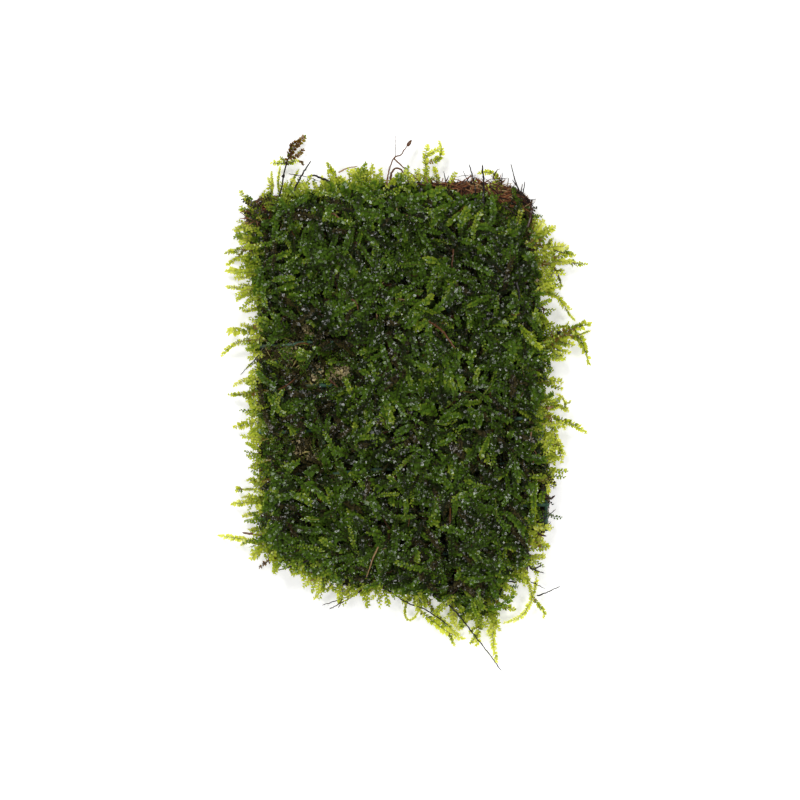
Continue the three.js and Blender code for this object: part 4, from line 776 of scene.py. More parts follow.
def piece(name, parts, nodes=()):
    """A piece of joined parts, each (material, [(vertices, faces, tones), ...])."""
    vertices, faces, tones = joined([bit for _, bits in parts for bit in bits])
    mesh = bpy.data.meshes.new(name)
    mesh.from_pydata((vertices * MM).tolist(), [], faces)
    if len(mesh.polygons) != len(faces):
        raise RuntimeError(f"{name} has lost faces")
    numbers = []
    for number, (material, bits) in enumerate(parts):
        mesh.materials.append(material)
        numbers += [number] * sum(len(polygons) for _, polygons, _ in bits)
    mesh.polygons.foreach_set("material_index", numbers)
    give_tones(mesh, tones)
    finished(name, mesh, nodes)


def finished(name, mesh, nodes=()):
    """The object of a piece, on the one body that there is and in place of its CAD nodes."""
    if name in bpy.data.objects:
        raise RuntimeError(f"{name} is already there")
    ob = bpy.data.objects.new(name, mesh)
    bpy.context.scene.collection.objects.link(ob)
    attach(ob, "root")
    if nodes:
        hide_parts(*nodes)


def mesh_of(bm, name, material):
    """The mesh of a form modelled in millimetres."""
    bmesh.ops.scale(bm, vec=(MM, MM, MM), verts=bm.verts)
    mesh = bpy.data.meshes.new(name)
    bm.to_mesh(mesh)
    bm.free()
    mesh.materials.append(material)
    return mesh


def points_of(bm):
    """Vertices and faces of a small form, to set it down many times."""
    points = np.array([vertex.co[:] for vertex in bm.verts])
    faces = [[vertex.index for vertex in face.verts] for face in bm.faces]
    bm.free()
    return points, faces


def seeded(name):
    """The same random numbers each run for the piece of that name."""
    return np.random.default_rng([SEED, *name.encode()])


# The lie of the mat


def inset(outline, x, y):
    """How far places lie inside an outline, negative outside it."""
    place = np.stack([x, y], -1)[:, None]
    start, end = outline[None], np.roll(outline, -1, 0)[None]
    run = end - start
    t = np.clip(((place - start) * run).sum(-1) / (run**2).sum(-1), 0, 1)
    near = np.linalg.norm(place - start - t[..., None] * run, axis=-1).min(1)
    crosses = (start[..., 1] > place[..., 1]) != (end[..., 1] > place[..., 1])
    climb = np.where(run[..., 1] == 0, 1e-9, run[..., 1])
    reach = start[..., 0] + run[..., 0] * (place[..., 1] - start[..., 1]) / climb
    inside = (crosses & (place[..., 0] < reach)).sum(1) % 2 == 1
    return np.where(inside, near, -near)


PAD_CURVE = smooth_route([*PAD_OUTLINE, PAD_OUTLINE[0]], OUTLINE_STEP)[:-1]
MOSS_CURVE = np.vstack([
    smooth_route(MOSS_LOWER, OUTLINE_STEP)[:-1], smooth_route(MOSS_RIGHT, OUTLINE_STEP)[:-1],
    smooth_route(MOSS_UPPER, OUTLINE_STEP)[:0:-1], smooth_route(MOSS_LEFT, OUTLINE_STEP)[:0:-1],
])


def edge_places(curve, count, hand, rng):
    """Random places on an outline, with the ways along it and out of it.

    The hand is 1 for an outline that runs counter-clockwise and -1 for one that runs clockwise.
    """
    at = rng.integers(0, len(curve), count)
    ahead = unit((np.roll(curve, -1, 0) - np.roll(curve, 1, 0))[at])
    return curve[at], ahead, hand * np.column_stack([ahead[:, 1], -ahead[:, 0]])


def both_ends_over(stems, beyond):
    """Which stems have both ends over the pad, or no further beyond its edge."""
    first, last = (inset(PAD_CURVE, *stems[:, end, :2].T) > -beyond for end in (0, -1))
    return first & last


def smoothstep(low, high, value):
    """A soft step from 0 at low to 1 at high."""
    t = np.clip((value - low) / (high - low), 0, 1)
    return t * t * (3 - 2 * t)


def off_patches(patches, x, y):
    """How far places are from the nearest patch's middle, as a share of the way to its edge."""
    return np.min([np.hypot((x - u) / half_width, (y - v) / half_height)
                   for u, v, half_width, half_height in patches], axis=0)


def worn(x, y):
    """From 1 in the middle of a worn patch to 0 out of all of them."""
    return 1 - smoothstep(0.62, 1.2, off_patches(WORN_PATCHES, x, y))


def husked(x, y):
    """Where bits of husk lie bare in the worn patches."""
    return off_patches(HUSK_PATCHES, x, y) < 1


def strewn(patch, each, heights, rng):
    """Random places in a patch, so many for each half width by half height, at heights over the pad."""
    x, y, half_width, half_height = patch
    count = round(each * half_width * half_height)
    turn, off = rng.uniform(0, 2 * np.pi, count), np.sqrt(rng.random(count))
    z = PAD_TOP + rng.uniform(*heights, count)
    return np.column_stack([x + half_width * off * np.cos(turn), y + half_height * off * np.sin(turn), z])


def lumps(x, y):
    """Crossing waves from 15 to 35 mm long give the lumps of the moss."""
    return (
        1.1 * np.sin(x / 4.7 + 0.6) * np.sin(y / 5.9 - 1.2)
        + 0.7 * np.sin(x / 2.6 + y / 3.9)
        + 0.6 * np.sin(y / 2.3 - x / 6.1)
    )


def moss_top(x, y):
    """Height of the moss over the floor."""
    rim = smoothstep(0, RIM_WIDTH, inset(MOSS_CURVE, x, y))
    top = RIM_TOP + (MOSS_TOP + lumps(x, y) - RIM_TOP) * rim
    top = top + TONGUE_DROOP * np.minimum(0, inset(PAD_CURVE, x, y))
    return top + (WORN_TOP - top) * worn(x, y)


def clumps(x, y):
    """From 1 in the clumps of the moss to 0 in the dark gaps, some 5 mm from one clump to the next."""
    height = [
        noise.noise((u / 2.4, v / 2.4, 0)) + 0.5 * noise.noise((u / 1.1, v / 1.1, 5)) for u, v in zip(x, y)
    ]
    return smoothstep(-0.25, 0.2, np.array(height))


EDGE_MARGIN = 0.4  # how far inside the moss's edge its sprigs stand
WORN_SHARE = 0.92  # how many of them are missing in the middle of a worn patch


def moss_places(count, rng, patchy):
    """Places all over the moss, few in the worn patches, and fewer in the gaps the patchier it is."""
    low, high = MOSS_CURVE.min(0), MOSS_CURVE.max(0)
    x, y = rng.uniform(low[:, None], high[:, None], (2, 5 * count))
    grown = (inset(MOSS_CURVE, x, y) > EDGE_MARGIN) & (rng.random(len(x)) > WORN_SHARE * worn(x, y))
    grown &= rng.random(len(x)) > patchy * (1 - clumps(x, y))
    return x[grown][:count], y[grown][:count]


def bent_stems(roots, heading, pitch, turn, sag, length, steps=8):
    """Stems that leave their roots at a heading and pitch, and turn and sag evenly on the way out."""
    t = (np.arange(steps) + 0.5) / steps
    yaw = heading[:, None] + turn[:, None] * t
    rise = pitch[:, None] - sag[:, None] * t
    step = np.stack([np.cos(rise) * np.cos(yaw), np.cos(rise) * np.sin(yaw), np.sin(rise)], -1)
    step = step * (length / steps)[:, None, None]
    return np.concatenate([roots[:, None], roots[:, None] + np.cumsum(step, 1)], 1)


def lying_fibres(places, heading, length, curl, diameter, rng, steps=5):
    """Fibres that lie level through their middles, gently curled, as paths and radii."""
    turn = rng.normal(0, curl, len(places))
    sag = rng.normal(0, 0.16, len(places))
    stems = bent_stems(places, heading - turn / 2, sag / 2, turn, sag, length, steps)
    stems = stems - (stems.mean(1) - places)[:, None]
    thick = diameter / 2 * rng.uniform(0.55, 1.25, (len(places), 1))
    return stems, thick * np.r_[0.5, np.ones(steps - 1), 0.4]


# Materials


def linear(hex_colour):
    """An sRGB hex colour as linear red, green, blue and alpha."""
    value = int(hex_colour.lstrip("#"), 16)
    channels = [(value >> shift & 255) / 255 for shift in (16, 8, 0)]
    return [c / 12.92 if c <= 0.04045 else ((c + 0.055) / 1.055) ** 2.4 for c in channels] + [1.0]


def add(material, kind, inputs=None, stops=(), **settings):
    """Adds a shader node with its settings. An input is a value or a socket to link.

    Stops are the places and colours of a ramp, each colour a hex one or a linear one from a property.
    """
    node = material.node_tree.nodes.new(kind)
    for name, value in settings.items():
        setattr(node, name, value)
    for name, value in (inputs or {}).items():
        if isinstance(value, bpy.types.NodeSocket):
            material.node_tree.links.new(value, node.inputs[name])
        else:
            node.inputs[name].default_value = value
    for number, (place, colour) in enumerate(stops):
        elements = node.color_ramp.elements
        stop = elements[number] if number < 2 else elements.new(place)
        stop.position = place
        stop.color = linear(colour) if isinstance(colour, str) else [*colour, 1]
    return node


def new_material(name):
    """An empty node material."""
    material = bpy.data.materials.new(name)
    material.use_nodes = True
    material.node_tree.nodes.clear()
    return material


def kept(name, make, *settings):
    """The material of that name, made the first time that it is asked for."""
    return bpy.data.materials.get(name) or make(name, *settings)


def mottled(material, place, grain_size, detail, contrast, stops):
    """A colour by the piece's own tone, made lighter and darker in grains of a real size.

    Gives the colour and the grain's height.
    """
    tone = add(material, "ShaderNodeAttribute", attribute_name="tone").outputs["Fac"]
    grain = add(material, "ShaderNodeTexNoise", {
        "Vector": place, "Scale": 1 / (grain_size * MM), "Detail": detail}).outputs["Fac"]
    shade = add(
        material, "ShaderNodeMath", {0: grain, 1: contrast, 2: -contrast / 2}, operation="MULTIPLY_ADD")
    toned = add(material, "ShaderNodeMath", {0: tone, 1: shade.outputs[0]}, operation="ADD")
    colour = add(material, "ShaderNodeValToRGB", {"Fac": toned.outputs[0]}, stops)
    return colour.outputs["Color"], grain


def wet_leaf(name, stops, through, backlit, wet):
    """Moss leaf: one layer of cells, wet, so it shines in small points and lets much of the light through.

    A real cell is too fine to show, so the mottling is drawn 0.6 mm coarse and the film of water 0.36 mm.
    """
    material = new_material(name)
    place = add(material, "ShaderNodeTexCoord").outputs["Object"]
    colour, _ = mottled(material, place, 0.6, 2.0, 0.28, stops)
    film = add(material, "ShaderNodeTexNoise", {"Vector": place, "Scale": 1 / (0.36 * MM), "Detail": 0.0})
    bump = add(material, "ShaderNodeBump", {
        "Height": film.outputs["Fac"], "Strength": 0.45, "Distance": 0.05 * MM,
    })
    leaf = add(material, "ShaderNodeBsdfPrincipled", {
        "Base Color": colour, "Roughness": 0.6, "Specular IOR Level": 0.1, "Coat Weight": wet,
        "Coat Roughness": 0.1, "Coat IOR": 1.4, "Coat Normal": bump.outputs["Normal"],
    })
    glow = add(material, "ShaderNodeHueSaturation", {"Color": colour, "Value": backlit, "Saturation": 1.1})
    behind = add(material, "ShaderNodeBsdfTranslucent", {"Color": glow.outputs["Color"]})
    mixed = add(material, "ShaderNodeMixShader", {"Fac": through, 1: leaf.outputs[0], 2: behind.outputs[0]})
    add(material, "ShaderNodeOutputMaterial", {"Surface": mixed.outputs[0]})
    return material


def fibre(name, stops, roughness, wet):
    """Coconut husk or bark, drawn and soaked, so it is dark with a dull shine along each strand.

    Its mottling is drawn 0.8 mm coarse, because the real grain is too fine to show.
    """
    material = new_material(name)
    place = add(material, "ShaderNodeTexCoord").outputs["Object"]
    colour, grain = mottled(material, place, 0.8, 3.0, 0.3, stops)
    bump = add(material, "ShaderNodeBump", {"Height": grain, "Strength": 0.6, "Distance": 0.1 * MM})
    husk = add(material, "ShaderNodeBsdfPrincipled", {
        "Base Color": colour, "Roughness": roughness, "Specular IOR Level": 0.2,
        "Normal": bump.outputs["Normal"], "Coat Weight": wet, "Coat Roughness": 0.2,
        "Coat Normal": bump.outputs["Normal"],
    })
    add(material, "ShaderNodeOutputMaterial", {"Surface": husk.outputs[0]})
    return material


def shaded_wet_humus(name):
    """Old stems and silt under the moss, in crumbs of 1.6 mm: lumpy and soaked, and nearly black, partly the
    dark of the humus itself and partly painted shade between the sprigs.
    """
    material = new_material(name)
    place = add(material, "ShaderNodeTexCoord").outputs["Object"]
    crumbs = add(material, "ShaderNodeTexNoise", {"Vector": place, "Scale": 1 / (1.6 * MM), "Detail": 5.0})
    # The near-black crumbs are partly the humus's own dark and partly painted shade between the sprigs
    colour = add(material, "ShaderNodeValToRGB", {"Fac": crumbs.outputs["Fac"]}, [
        (0.3, "#020301"), (0.55, "#070903"), (0.75, "#14160a"),
    ])
    bump = add(material, "ShaderNodeBump", {
        "Height": crumbs.outputs["Fac"], "Strength": 1.0, "Distance": 0.8 * MM,
    })
    silt = add(material, "ShaderNodeBsdfPrincipled", {
        "Base Color": colour.outputs["Color"], "Roughness": 0.6, "Specular IOR Level": 0.1,
        "Normal": bump.outputs["Normal"], "Coat Weight": 0.12, "Coat Roughness": 0.16,
        "Coat Normal": bump.outputs["Normal"],
    })
    add(material, "ShaderNodeOutputMaterial", {"Surface": silt.outputs[0]})
    return material


def vinyl_coat(name):
    """Vinyl-coated steel wire: dipped, so smooth and glossy, with a film of algae in patches of 5 mm."""
    material = new_material(name)
    place = add(material, "ShaderNodeTexCoord").outputs["Object"]
    film = add(material, "ShaderNodeTexNoise", {"Vector": place, "Scale": 1 / (5 * MM), "Detail": 4.0})
    colour = add(material, "ShaderNodeValToRGB", {"Fac": film.outputs["Fac"]}, [
        (0.42, "#35523f"), (0.55, "#456353"), (0.66, "#424628"),
    ])
    dull = add(material, "ShaderNodeMapRange", {
        "Value": film.outputs["Fac"], "From Min": 0.4, "From Max": 0.65, "To Min": 0.22, "To Max": 0.5,
    })
    coat = add(material, "ShaderNodeBsdfPrincipled", {
        "Base Color": colour.outputs["Color"], "Roughness": dull.outputs[0], "IOR": 1.52,
    })
    add(material, "ShaderNodeOutputMaterial", {"Surface": coat.outputs[0]})
    return material


def opal_acrylic(name):
    """Sanded white acrylic without a shine, lit a little from below, so shadows on it stay thin."""
    material = new_material(name)
    sheet = add(material, "ShaderNodeBsdfPrincipled", {
        "Base Color": linear("#f9f9f9"), "Roughness": 0.9, "Specular IOR Level": 0.1,
        "Emission Color": linear("#ffffff"), "Emission Strength": 0.4,
    })
    add(material, "ShaderNodeOutputMaterial", {"Surface": sheet.outputs[0]})
    return material


def moss_tones():
    """Up to 0.12 dead and brown leaves, and from there dark green up to the yellow green of the rim."""
    growth = bpy.context.scene.moss_growth
    return [
        (0.0, "#1c170b"), (0.07, "#4c4422"), (0.12, "#26240a"), (0.16, "#0c1304"), (0.34, growth.shade),
        (0.58, growth.green), (0.82, growth.young), (1.0, "#ccd452"),
    ]


def moss_leaf():
    """A leaf on top of the moss, with drops of water on it that glint."""
    return kept("wet moss leaf", wet_leaf, moss_tones(), bpy.context.scene.moss_growth.translucence, 1.5, 0.8)


def deep_leaf():
    """The same leaf down in the moss, where water fills the gaps, so it has hardly a shine of its own."""
    growth = bpy.context.scene.moss_growth
    return kept("sunken moss leaf", wet_leaf, moss_tones(), growth.translucence, 1.5, 0.5)


def shoot_leaf():
    """A young leaf: brown where it is old and else a light yellow green, which light comes through easily."""
    shoots = bpy.context.scene.moss_shoots
    stops = [
        (0.0, "#4a2e14"), (0.1, "#7a5a26"), (0.2, "#80702c"), (0.3, "#58721c"), (0.5, shoots.leaf),
        (0.8, shoots.tip), (1.0, "#eef08a"),
    ]
    return kept("young moss leaf", wet_leaf, stops, shoots.translucence, 1.35, 0.9)


def moss_stem():
    """The thin stem of a sprig, wiry and brown, and green where it is young."""
    stops = [(0.0, "#0e0c05"), (0.3, "#2a2410"), (0.5, "#3e421a"), (0.75, "#7a7f2e"), (1.0, "#b3a468")]
    return kept("moss stem", fibre, stops, 0.45, 0.3)


def coir():
    """Coconut fibre, needled into a felt: red brown where it stands proud and nearly black deep down, which
    is partly soaked fibre and partly painted light and shade.
    """
    pad = bpy.context.scene.moss_pad
    stops = [(0.0, "#0a0503"), (0.35, pad.dark), (0.7, pad.light), (1.0, "#b0a070")]
    return kept("coconut coir", fibre, stops, 0.6, 0.4)


def dry_husk():
    """Pith of the husk, bleached by sun and water to a dull straw colour."""
    stops = [(0.0, "#17130a"), (0.3, "#3e3822"), (0.7, "#7e7048"), (1.0, "#b4a478")]
    return kept("bleached husk", fibre, stops, 0.6, 0.3)


def bark():
    """Bark of thin twigs and roots, from black through brown to a pale tan."""
    stops = [
        (0.0, "#0a0706"), (0.2, "#1c120c"), (0.4, "#3e2416"), (0.6, "#6a4428"), (0.8, "#967450"),
        (1.0, "#c2a888"),
    ]
    return kept("wet bark", fibre, stops, 0.5, 0.2)


# Pieces


# Levels of the pad's wall, rounded at top and bottom: height, and how far it is grown past the outline
PAD_LEVELS = [
    (0.34, -1), (0.5, -0.4), (1, 0), (2, 0.1), (3.2, 0), (4.4, 0.1), (5.6, 0), (6.4, -0.2), (6.9, -0.8),
]
FLAT_BELOW = 0.6  # the underside stays flat up to this height
# The felt under the loose fibres gets a near-black tone: partly soaked coir and partly painted shade of its
# depths
FELT_TONE = 0.14


def wall_ring(bm, height, grown):
    """The edges of one closed level of the pad's wall."""
    made = bmesh.ops.create_circle(bm, segments=len(PAD_CURVE), radius=1)["verts"]
    away = unit(PAD_CURVE - PAD_CURVE.mean(0))
    for vertex, (x, y), (dx, dy) in zip(made, PAD_CURVE, away):
        vertex.co = (x + grown * dx, y + grown * dy, height)
    return list({edge for vertex in made for edge in vertex.link_edges})


def coir_pad():
    """The felted slab: a wall of levels round the outline, closed at both ends and roughened above its flat
    underside.
    """
    bm = bmesh.new()
    rings = [wall_ring(bm, height, grown) for height, grown in PAD_LEVELS]
    for lower, upper in zip(rings, rings[1:]):
        bmesh.ops.bridge_loops(bm, edges=lower + upper)
    for end in (rings[0], rings[-1]):
        bmesh.ops.holes_fill(bm, edges=end)
    bmesh.ops.recalc_face_normals(bm, faces=bm.faces)
    for vertex in bm.verts:
        if vertex.co.z > FLAT_BELOW:
            rough = noise.noise(vertex.co / 1.7) * 0.35 + noise.noise(vertex.co / 6) * 0.3
            vertex.co += vertex.normal * rough
    mesh = mesh_of(bm, "felted_pad", coir())
    give_tones(mesh, np.full(len(mesh.vertices), FELT_TONE))
    finished("felted_pad", mesh, ["coir_pad"])


def face_fibres(count, level, loft, least, under_moss, rng):
    """Fibres that lie on the pad's top or underside, no lower than the least height.

    Under the moss most are left out where they can't be seen, away from the worn patches and the edge.
    """
    low, high = PAD_CURVE.min(0), PAD_CURVE.max(0)
    x, y = rng.uniform(low[:, None], high[:, None], (2, 2 * count))
    near = inset(PAD_CURVE, x, y)
    seen = (rng.random(len(x)) < worn(x, y) + 0.12 + 0.6 * (near < 4)) | (not under_moss)
    shown = (near > 0.8) & seen
    x, y = x[shown][:count], y[shown][:count]
    z = level + rng.gamma(2.0, loft, len(x))
    length, heading = rng.uniform(5, 15, len(x)), rng.uniform(0, 2 * np.pi, len(x))
    thick = bpy.context.scene.moss_pad.fibre_diameter / MM
    stems, radii = lying_fibres(np.column_stack([x, y, z]), heading, length, 0.9, thick, rng)
    stems[..., 2] = np.maximum(stems[..., 2], least)
    within = both_ends_over(stems, 0.6)
    stems, radii = stems[within], radii[within]
    # The felt is darker down the right side, partly where water stands in it and partly as painted shade
    soaked = (stems[:, 0, 0] > 33) & (stems[:, 0, 1] < 40)
    return toned_rods(stems, radii, rng.normal(0.32, 0.2, len(stems)) - 0.2 * soaked)


def side_fibres(count, rng):
    """Fibres felted along the pad's side, each slanting up or down a little."""
    places, ahead, outward = edge_places(PAD_CURVE, count, -1, rng)
    spots = places + outward * rng.uniform(0.1, 0.75, (count, 1))
    places = np.column_stack([spots, rng.uniform(0.5, 6.6, count)])
    heading = np.arctan2(ahead[:, 1], ahead[:, 0]) + rng.normal(0, 0.1, count)
    thick = bpy.context.scene.moss_pad.fibre_diameter / MM
    stems, radii = lying_fibres(places, heading, rng.uniform(3, 8, count), 0.25, thick, rng)
    lean = rng.normal(0, 0.45, (count, 1)) * np.linspace(-1, 1, stems.shape[1])
    stems[..., 2] = np.clip(stems[..., 2] + lean * 2.2, 0.2, PAD_TOP + 0.4)
    return toned_rods(stems, radii, rng.normal(0.42, 0.2, count))


def coir_fibres():
    """Loose husk fibres over the pad: on its top, on its underside and round its side."""
    fibres = bpy.context.scene.moss_pad.fibres
    rng = seeded("coir fibres")
    bits = [
        face_fibres(fibres, PAD_TOP, 0.2, 0.05, True, rng),
        face_fibres(fibres * 3 // 4, 0.2, 0.02, 0.2, False, rng),
        side_fibres(fibres // 2, rng),
    ]
    piece("coir_fibres", [(coir(), bits)])


# Where coir shows past the moss: start and end of each band along the pad's edge, and its number of fibres
COIR_BANDS = [((10, 57.6), (32, 56.2), 620), ((31, 56), (39.6, 51), 280), ((-40.6, 51.6), (-34, 55.8), 110)]


def coir_tufts():
    """Reddish fibres that stand out of the pad's edge where the moss is thin."""
    pad = bpy.context.scene.moss_pad
    thick = 1.25 * pad.fibre_diameter / MM
    rng = seeded("coir tufts")
    bits = []
    for start, end, count in COIR_BANDS:
        start, end = np.array(start), np.array(end)
        along = unit(end - start)
        outward = np.array([-along[1], along[0]])
        outward = outward * np.sign((outward * (start + end)).sum())
        share = rng.random((count, 1))
        spot = start + (end - start) * share + outward * rng.normal(-0.9, 1.3, (count, 1))
        places = np.column_stack([spot, rng.uniform(PAD_TOP - 0.6, PAD_TOP + 3.2, count)])
        heading = math.atan2(along[1], along[0]) + rng.normal(0, 0.75, count)
        stems, radii = lying_fibres(places, heading, rng.uniform(2.5, 9, count), 1.0, thick, rng)
        bits.append(toned_rods(stems, radii, rng.normal(0.5, 0.26, count)))
    piece("coir_tufts", [(coir(), bits)])


# A strand's rounded end in radii: how far from the tip, and how thick there
ROUND_END = np.array([(0, 0.05), (0.12, 0.48), (0.35, 0.78), (0.7, 0.95), (1, 1)]).T


def strand(start, end, height, rng):
    """One strand of wire, rounded at both ends and a little wavy from weld to weld."""
    wire = bpy.context.scene.moss_wire
    radius = wire.diameter / MM / 2
    start, end = np.array(start, float), np.array(end, float)
    length = np.linalg.norm(end - start)
    tip, thickness = radius * ROUND_END
    along = np.r_[tip, np.arange(2, length - 2, 1.6), length - tip[::-1]]
    side = np.array([-(end - start)[1], (end - start)[0]]) / length
    wave = wire.waviness / MM * np.sin(along * 2 * np.pi / (2 * MESH_PITCH) + rng.uniform(0, 6.3))
    spots = start + (end - start) * along[:, None] / length + side * wave[:, None]
    path = np.column_stack([spots, np.full(len(along), height)])
    radii = np.r_[thickness, np.full(len(along) - 2 * len(tip), radius), thickness[::-1]]
    return *rods(path[None], radii[None], 10), MIDDLE_TONE


def weld_blobs():
    """The coat gathers in a small blob round each weld."""
    radius = bpy.context.scene.moss_wire.diameter / MM / 2
    bm = bmesh.new()
    bmesh.ops.create_icosphere(bm, subdivisions=2, radius=1)
    bmesh.ops.scale(bm, vec=(1.35 * radius, 1.35 * radius, 1.15 * radius), verts=bm.verts)
    ball, faces = points_of(bm)
    for i, (low, high) in enumerate(LONG_STRAND_ENDS):
        for j, (left, right) in enumerate(CROSS_STRAND_ENDS):
            x, y = RIGHT_STRAND_X - i * MESH_PITCH, TOP_STRAND_Y - j * MESH_PITCH
            if left < x < right and low < y < high:
                yield ball + [x, y, (LONG_HEIGHT + CROSS_HEIGHT) / 2], faces, MIDDLE_TONE


def wire_mesh():
    """Coated wire: long strands, with the cross strands welded over them."""
    rng = seeded("wire mesh")
    bits = []
    for i, (low, high) in enumerate(LONG_STRAND_ENDS):
        x = RIGHT_STRAND_X - i * MESH_PITCH
        bits.append(strand((x, low), (x, high), LONG_HEIGHT, rng))
    for i, (left, right) in enumerate(CROSS_STRAND_ENDS):
        y = TOP_STRAND_Y - i * MESH_PITCH
        bits.append(strand((left, y), (right, y), CROSS_HEIGHT, rng))
    bits += weld_blobs()
    piece("vinyl_mesh", [(kept("vinyl coat", vinyl_coat), bits)], ["support_mesh"])


# The bed: its cells across and up the mat, its size beside the moss's, how deep it lies under the moss's top,
# and its least height on top and underneath
BED_CELLS = (56, 84)
BED_SIZE = 0.985
BED_DEPTH = 4.3
BED_TOP_LEAST = 1.6
BED_FLOOR_LEAST = 0.8


def between_edges(s, t):
    """Places at shares s from left to right and t from bottom to top, smooth between the moss's edges."""
    left, right = spread(MOSS_LEFT, t), spread(MOSS_RIGHT, t)
    lower, upper = spread(MOSS_LOWER, s), spread(MOSS_UPPER, s)
    s, t = s[:, None], t[:, None]
    corners = np.array([MOSS_LOWER[0], MOSS_LOWER[-1], MOSS_UPPER[0], MOSS_UPPER[-1]], float)
    place = left * (1 - s) + right * s + lower * (1 - t) + upper * t
    place = place - (1 - s) * (1 - t) * corners[0] - s * (1 - t) * corners[1]
    return place - (1 - s) * t * corners[2] - s * t * corners[3]


def moss_bed():
    """The dense old growth that the sprigs stand in, from the pad up to just under them."""
    bm = bmesh.new()
    bmesh.ops.create_grid(bm, x_segments=BED_CELLS[0], y_segments=BED_CELLS[1], size=0.5)
    shares = np.array([vertex.co[:2] for vertex in bm.verts]) + 0.5
    place = between_edges(*shares.T) * BED_SIZE
    top = moss_top(*place.T) - BED_DEPTH
    for vertex, (x, y), z in zip(bm.verts, place, top):
        rough = noise.noise(Vector((x, y, 0)) / 2.2) * 0.9 + noise.noise(Vector((x, y, 9)) / 0.9) * 0.5
        vertex.co = (x, y, max(z + rough, BED_TOP_LEAST))
    grown = bmesh.ops.extrude_face_region(bm, geom=list(bm.faces), use_keep_orig=True)["geom"]
    for vertex in (made for made in grown if isinstance(made, bmesh.types.BMVert)):
        over_pad = inset(PAD_CURVE, np.array([vertex.co.x]), np.array([vertex.co.y]))[0] > 0
        z = min(vertex.co.z - 0.3, PAD_TOP - 0.1) if over_pad else vertex.co.z - 3
        vertex.co.z = max(z, BED_FLOOR_LEAST)
    bmesh.ops.recalc_face_normals(bm, faces=bm.faces)
    # The bed's near-black humus is partly painted shade between the sprigs
    mesh = mesh_of(bm, "moss_bed", kept("shaded wet humus", shaded_wet_humus))
    finished("moss_bed", mesh, ["moss_carpet"])


# Layers of the carpet: share of the sprigs, depth under the top, rise in degrees, size over the usual, tone,
# pitch of the leaves over the usual, and how patchy the layer is
# Deeper layers get darker tones: partly older leaves and partly painted shade low in the moss
CARPET_LAYERS = {
    "under_sprigs": (0.38, (2.8, 4.8), (5, 45), 0.8, 0.16, 1.2, 0),
    "middle_sprigs": (0.38, (1.2, 3), (5, 40), 0.9, 0.23, 1.1, 0.8),
    "upper_sprigs": (0.24, (-1.6, 1.2), (0, 30), 1.15, 0.42, 1.0, 0.95),
}
# Places where the moss differs: middle, reach, how much lighter its tone is, and its share of dead sprigs
MOODS = [
    (14, -38, 20, -0.02, 0.22), (-4, 47, 22, 0.04, 0.03), (-28, -14, 10, -0.02, 0.24),
    (-27, 10, 12, -0.04, 0.26), (18, 14, 16, 0.03, 0.04), (-8, 12, 8, -0.05, 0.2),
    (-12, -30, 14, 0.02, 0.06), (34, -30, 8, -0.04, 0.3), (30, 44, 9, -0.05, 0.24),
    (8, -8, 12, 0.02, 0.06), (20, -60, 12, 0.08, 0.1), (-34, -44, 12, 0.03, 0.1),
]
USUAL_DEAD = 0.08


def sprig_parts(stems, reach, tone, rng, roll, pitch, breadth, shape, foot_shade=-0.18):
    """Leaves and stems of many sprigs, as vertices, faces and tones."""
    vertices, faces, along = leaves(stems, reach, pitch, shape, breadth, rng, roll=roll[:, None, None])
    # Leaves get lighter towards a sprig's tip, partly younger growth and partly painted light, and each leaf
    # is painted lighter at its tip and darker at its foot, painted light and shade; stems take their sprig's
    # tone
    lit = np.linspace(-0.03, 0.09, 2 + 2 * len(shape))
    lit[0] = foot_shade
    shade = leaf_tones(tone[:, None] + 0.12 * (along - 0.5), 0.035, lit, rng)
    middle = stems[:, ::4]
    stem_tone = np.clip(tone + rng.normal(0, 0.1, len(stems)), 0.2, 0.9)
    thick = STEM_RADIUS * tapering(middle.shape[1], 1, 0.3)
    return (vertices, faces, np.clip(shade, 0, 1).ravel()), toned_rods(middle, thick, stem_tone)


def painted_backlight(x, y):
    """How much lighter and yellower the moss is painted near the left and right edges: painted light that
    comes through from the floor.
    """
    near = 1 - smoothstep(-1, 7, inset(MOSS_CURVE, x, y))
    sides = smoothstep(24, 38, np.abs(x)) * (1 - 0.8 * smoothstep(44, 52, y) * (x > 0))
    return near * (0.35 + 0.65 * sides)


def moods(x, y):
    """How much lighter the moss is at each place, and its share of dead sprigs."""
    weights = np.array([np.exp(-((x - u) ** 2 + (y - v) ** 2) / reach**2) for u, v, reach, _, _ in MOODS])
    lighter, dead = np.array([mood[3:] for mood in MOODS]).T
    return weights.T @ lighter, USUAL_DEAD + weights.T @ (dead - USUAL_DEAD)


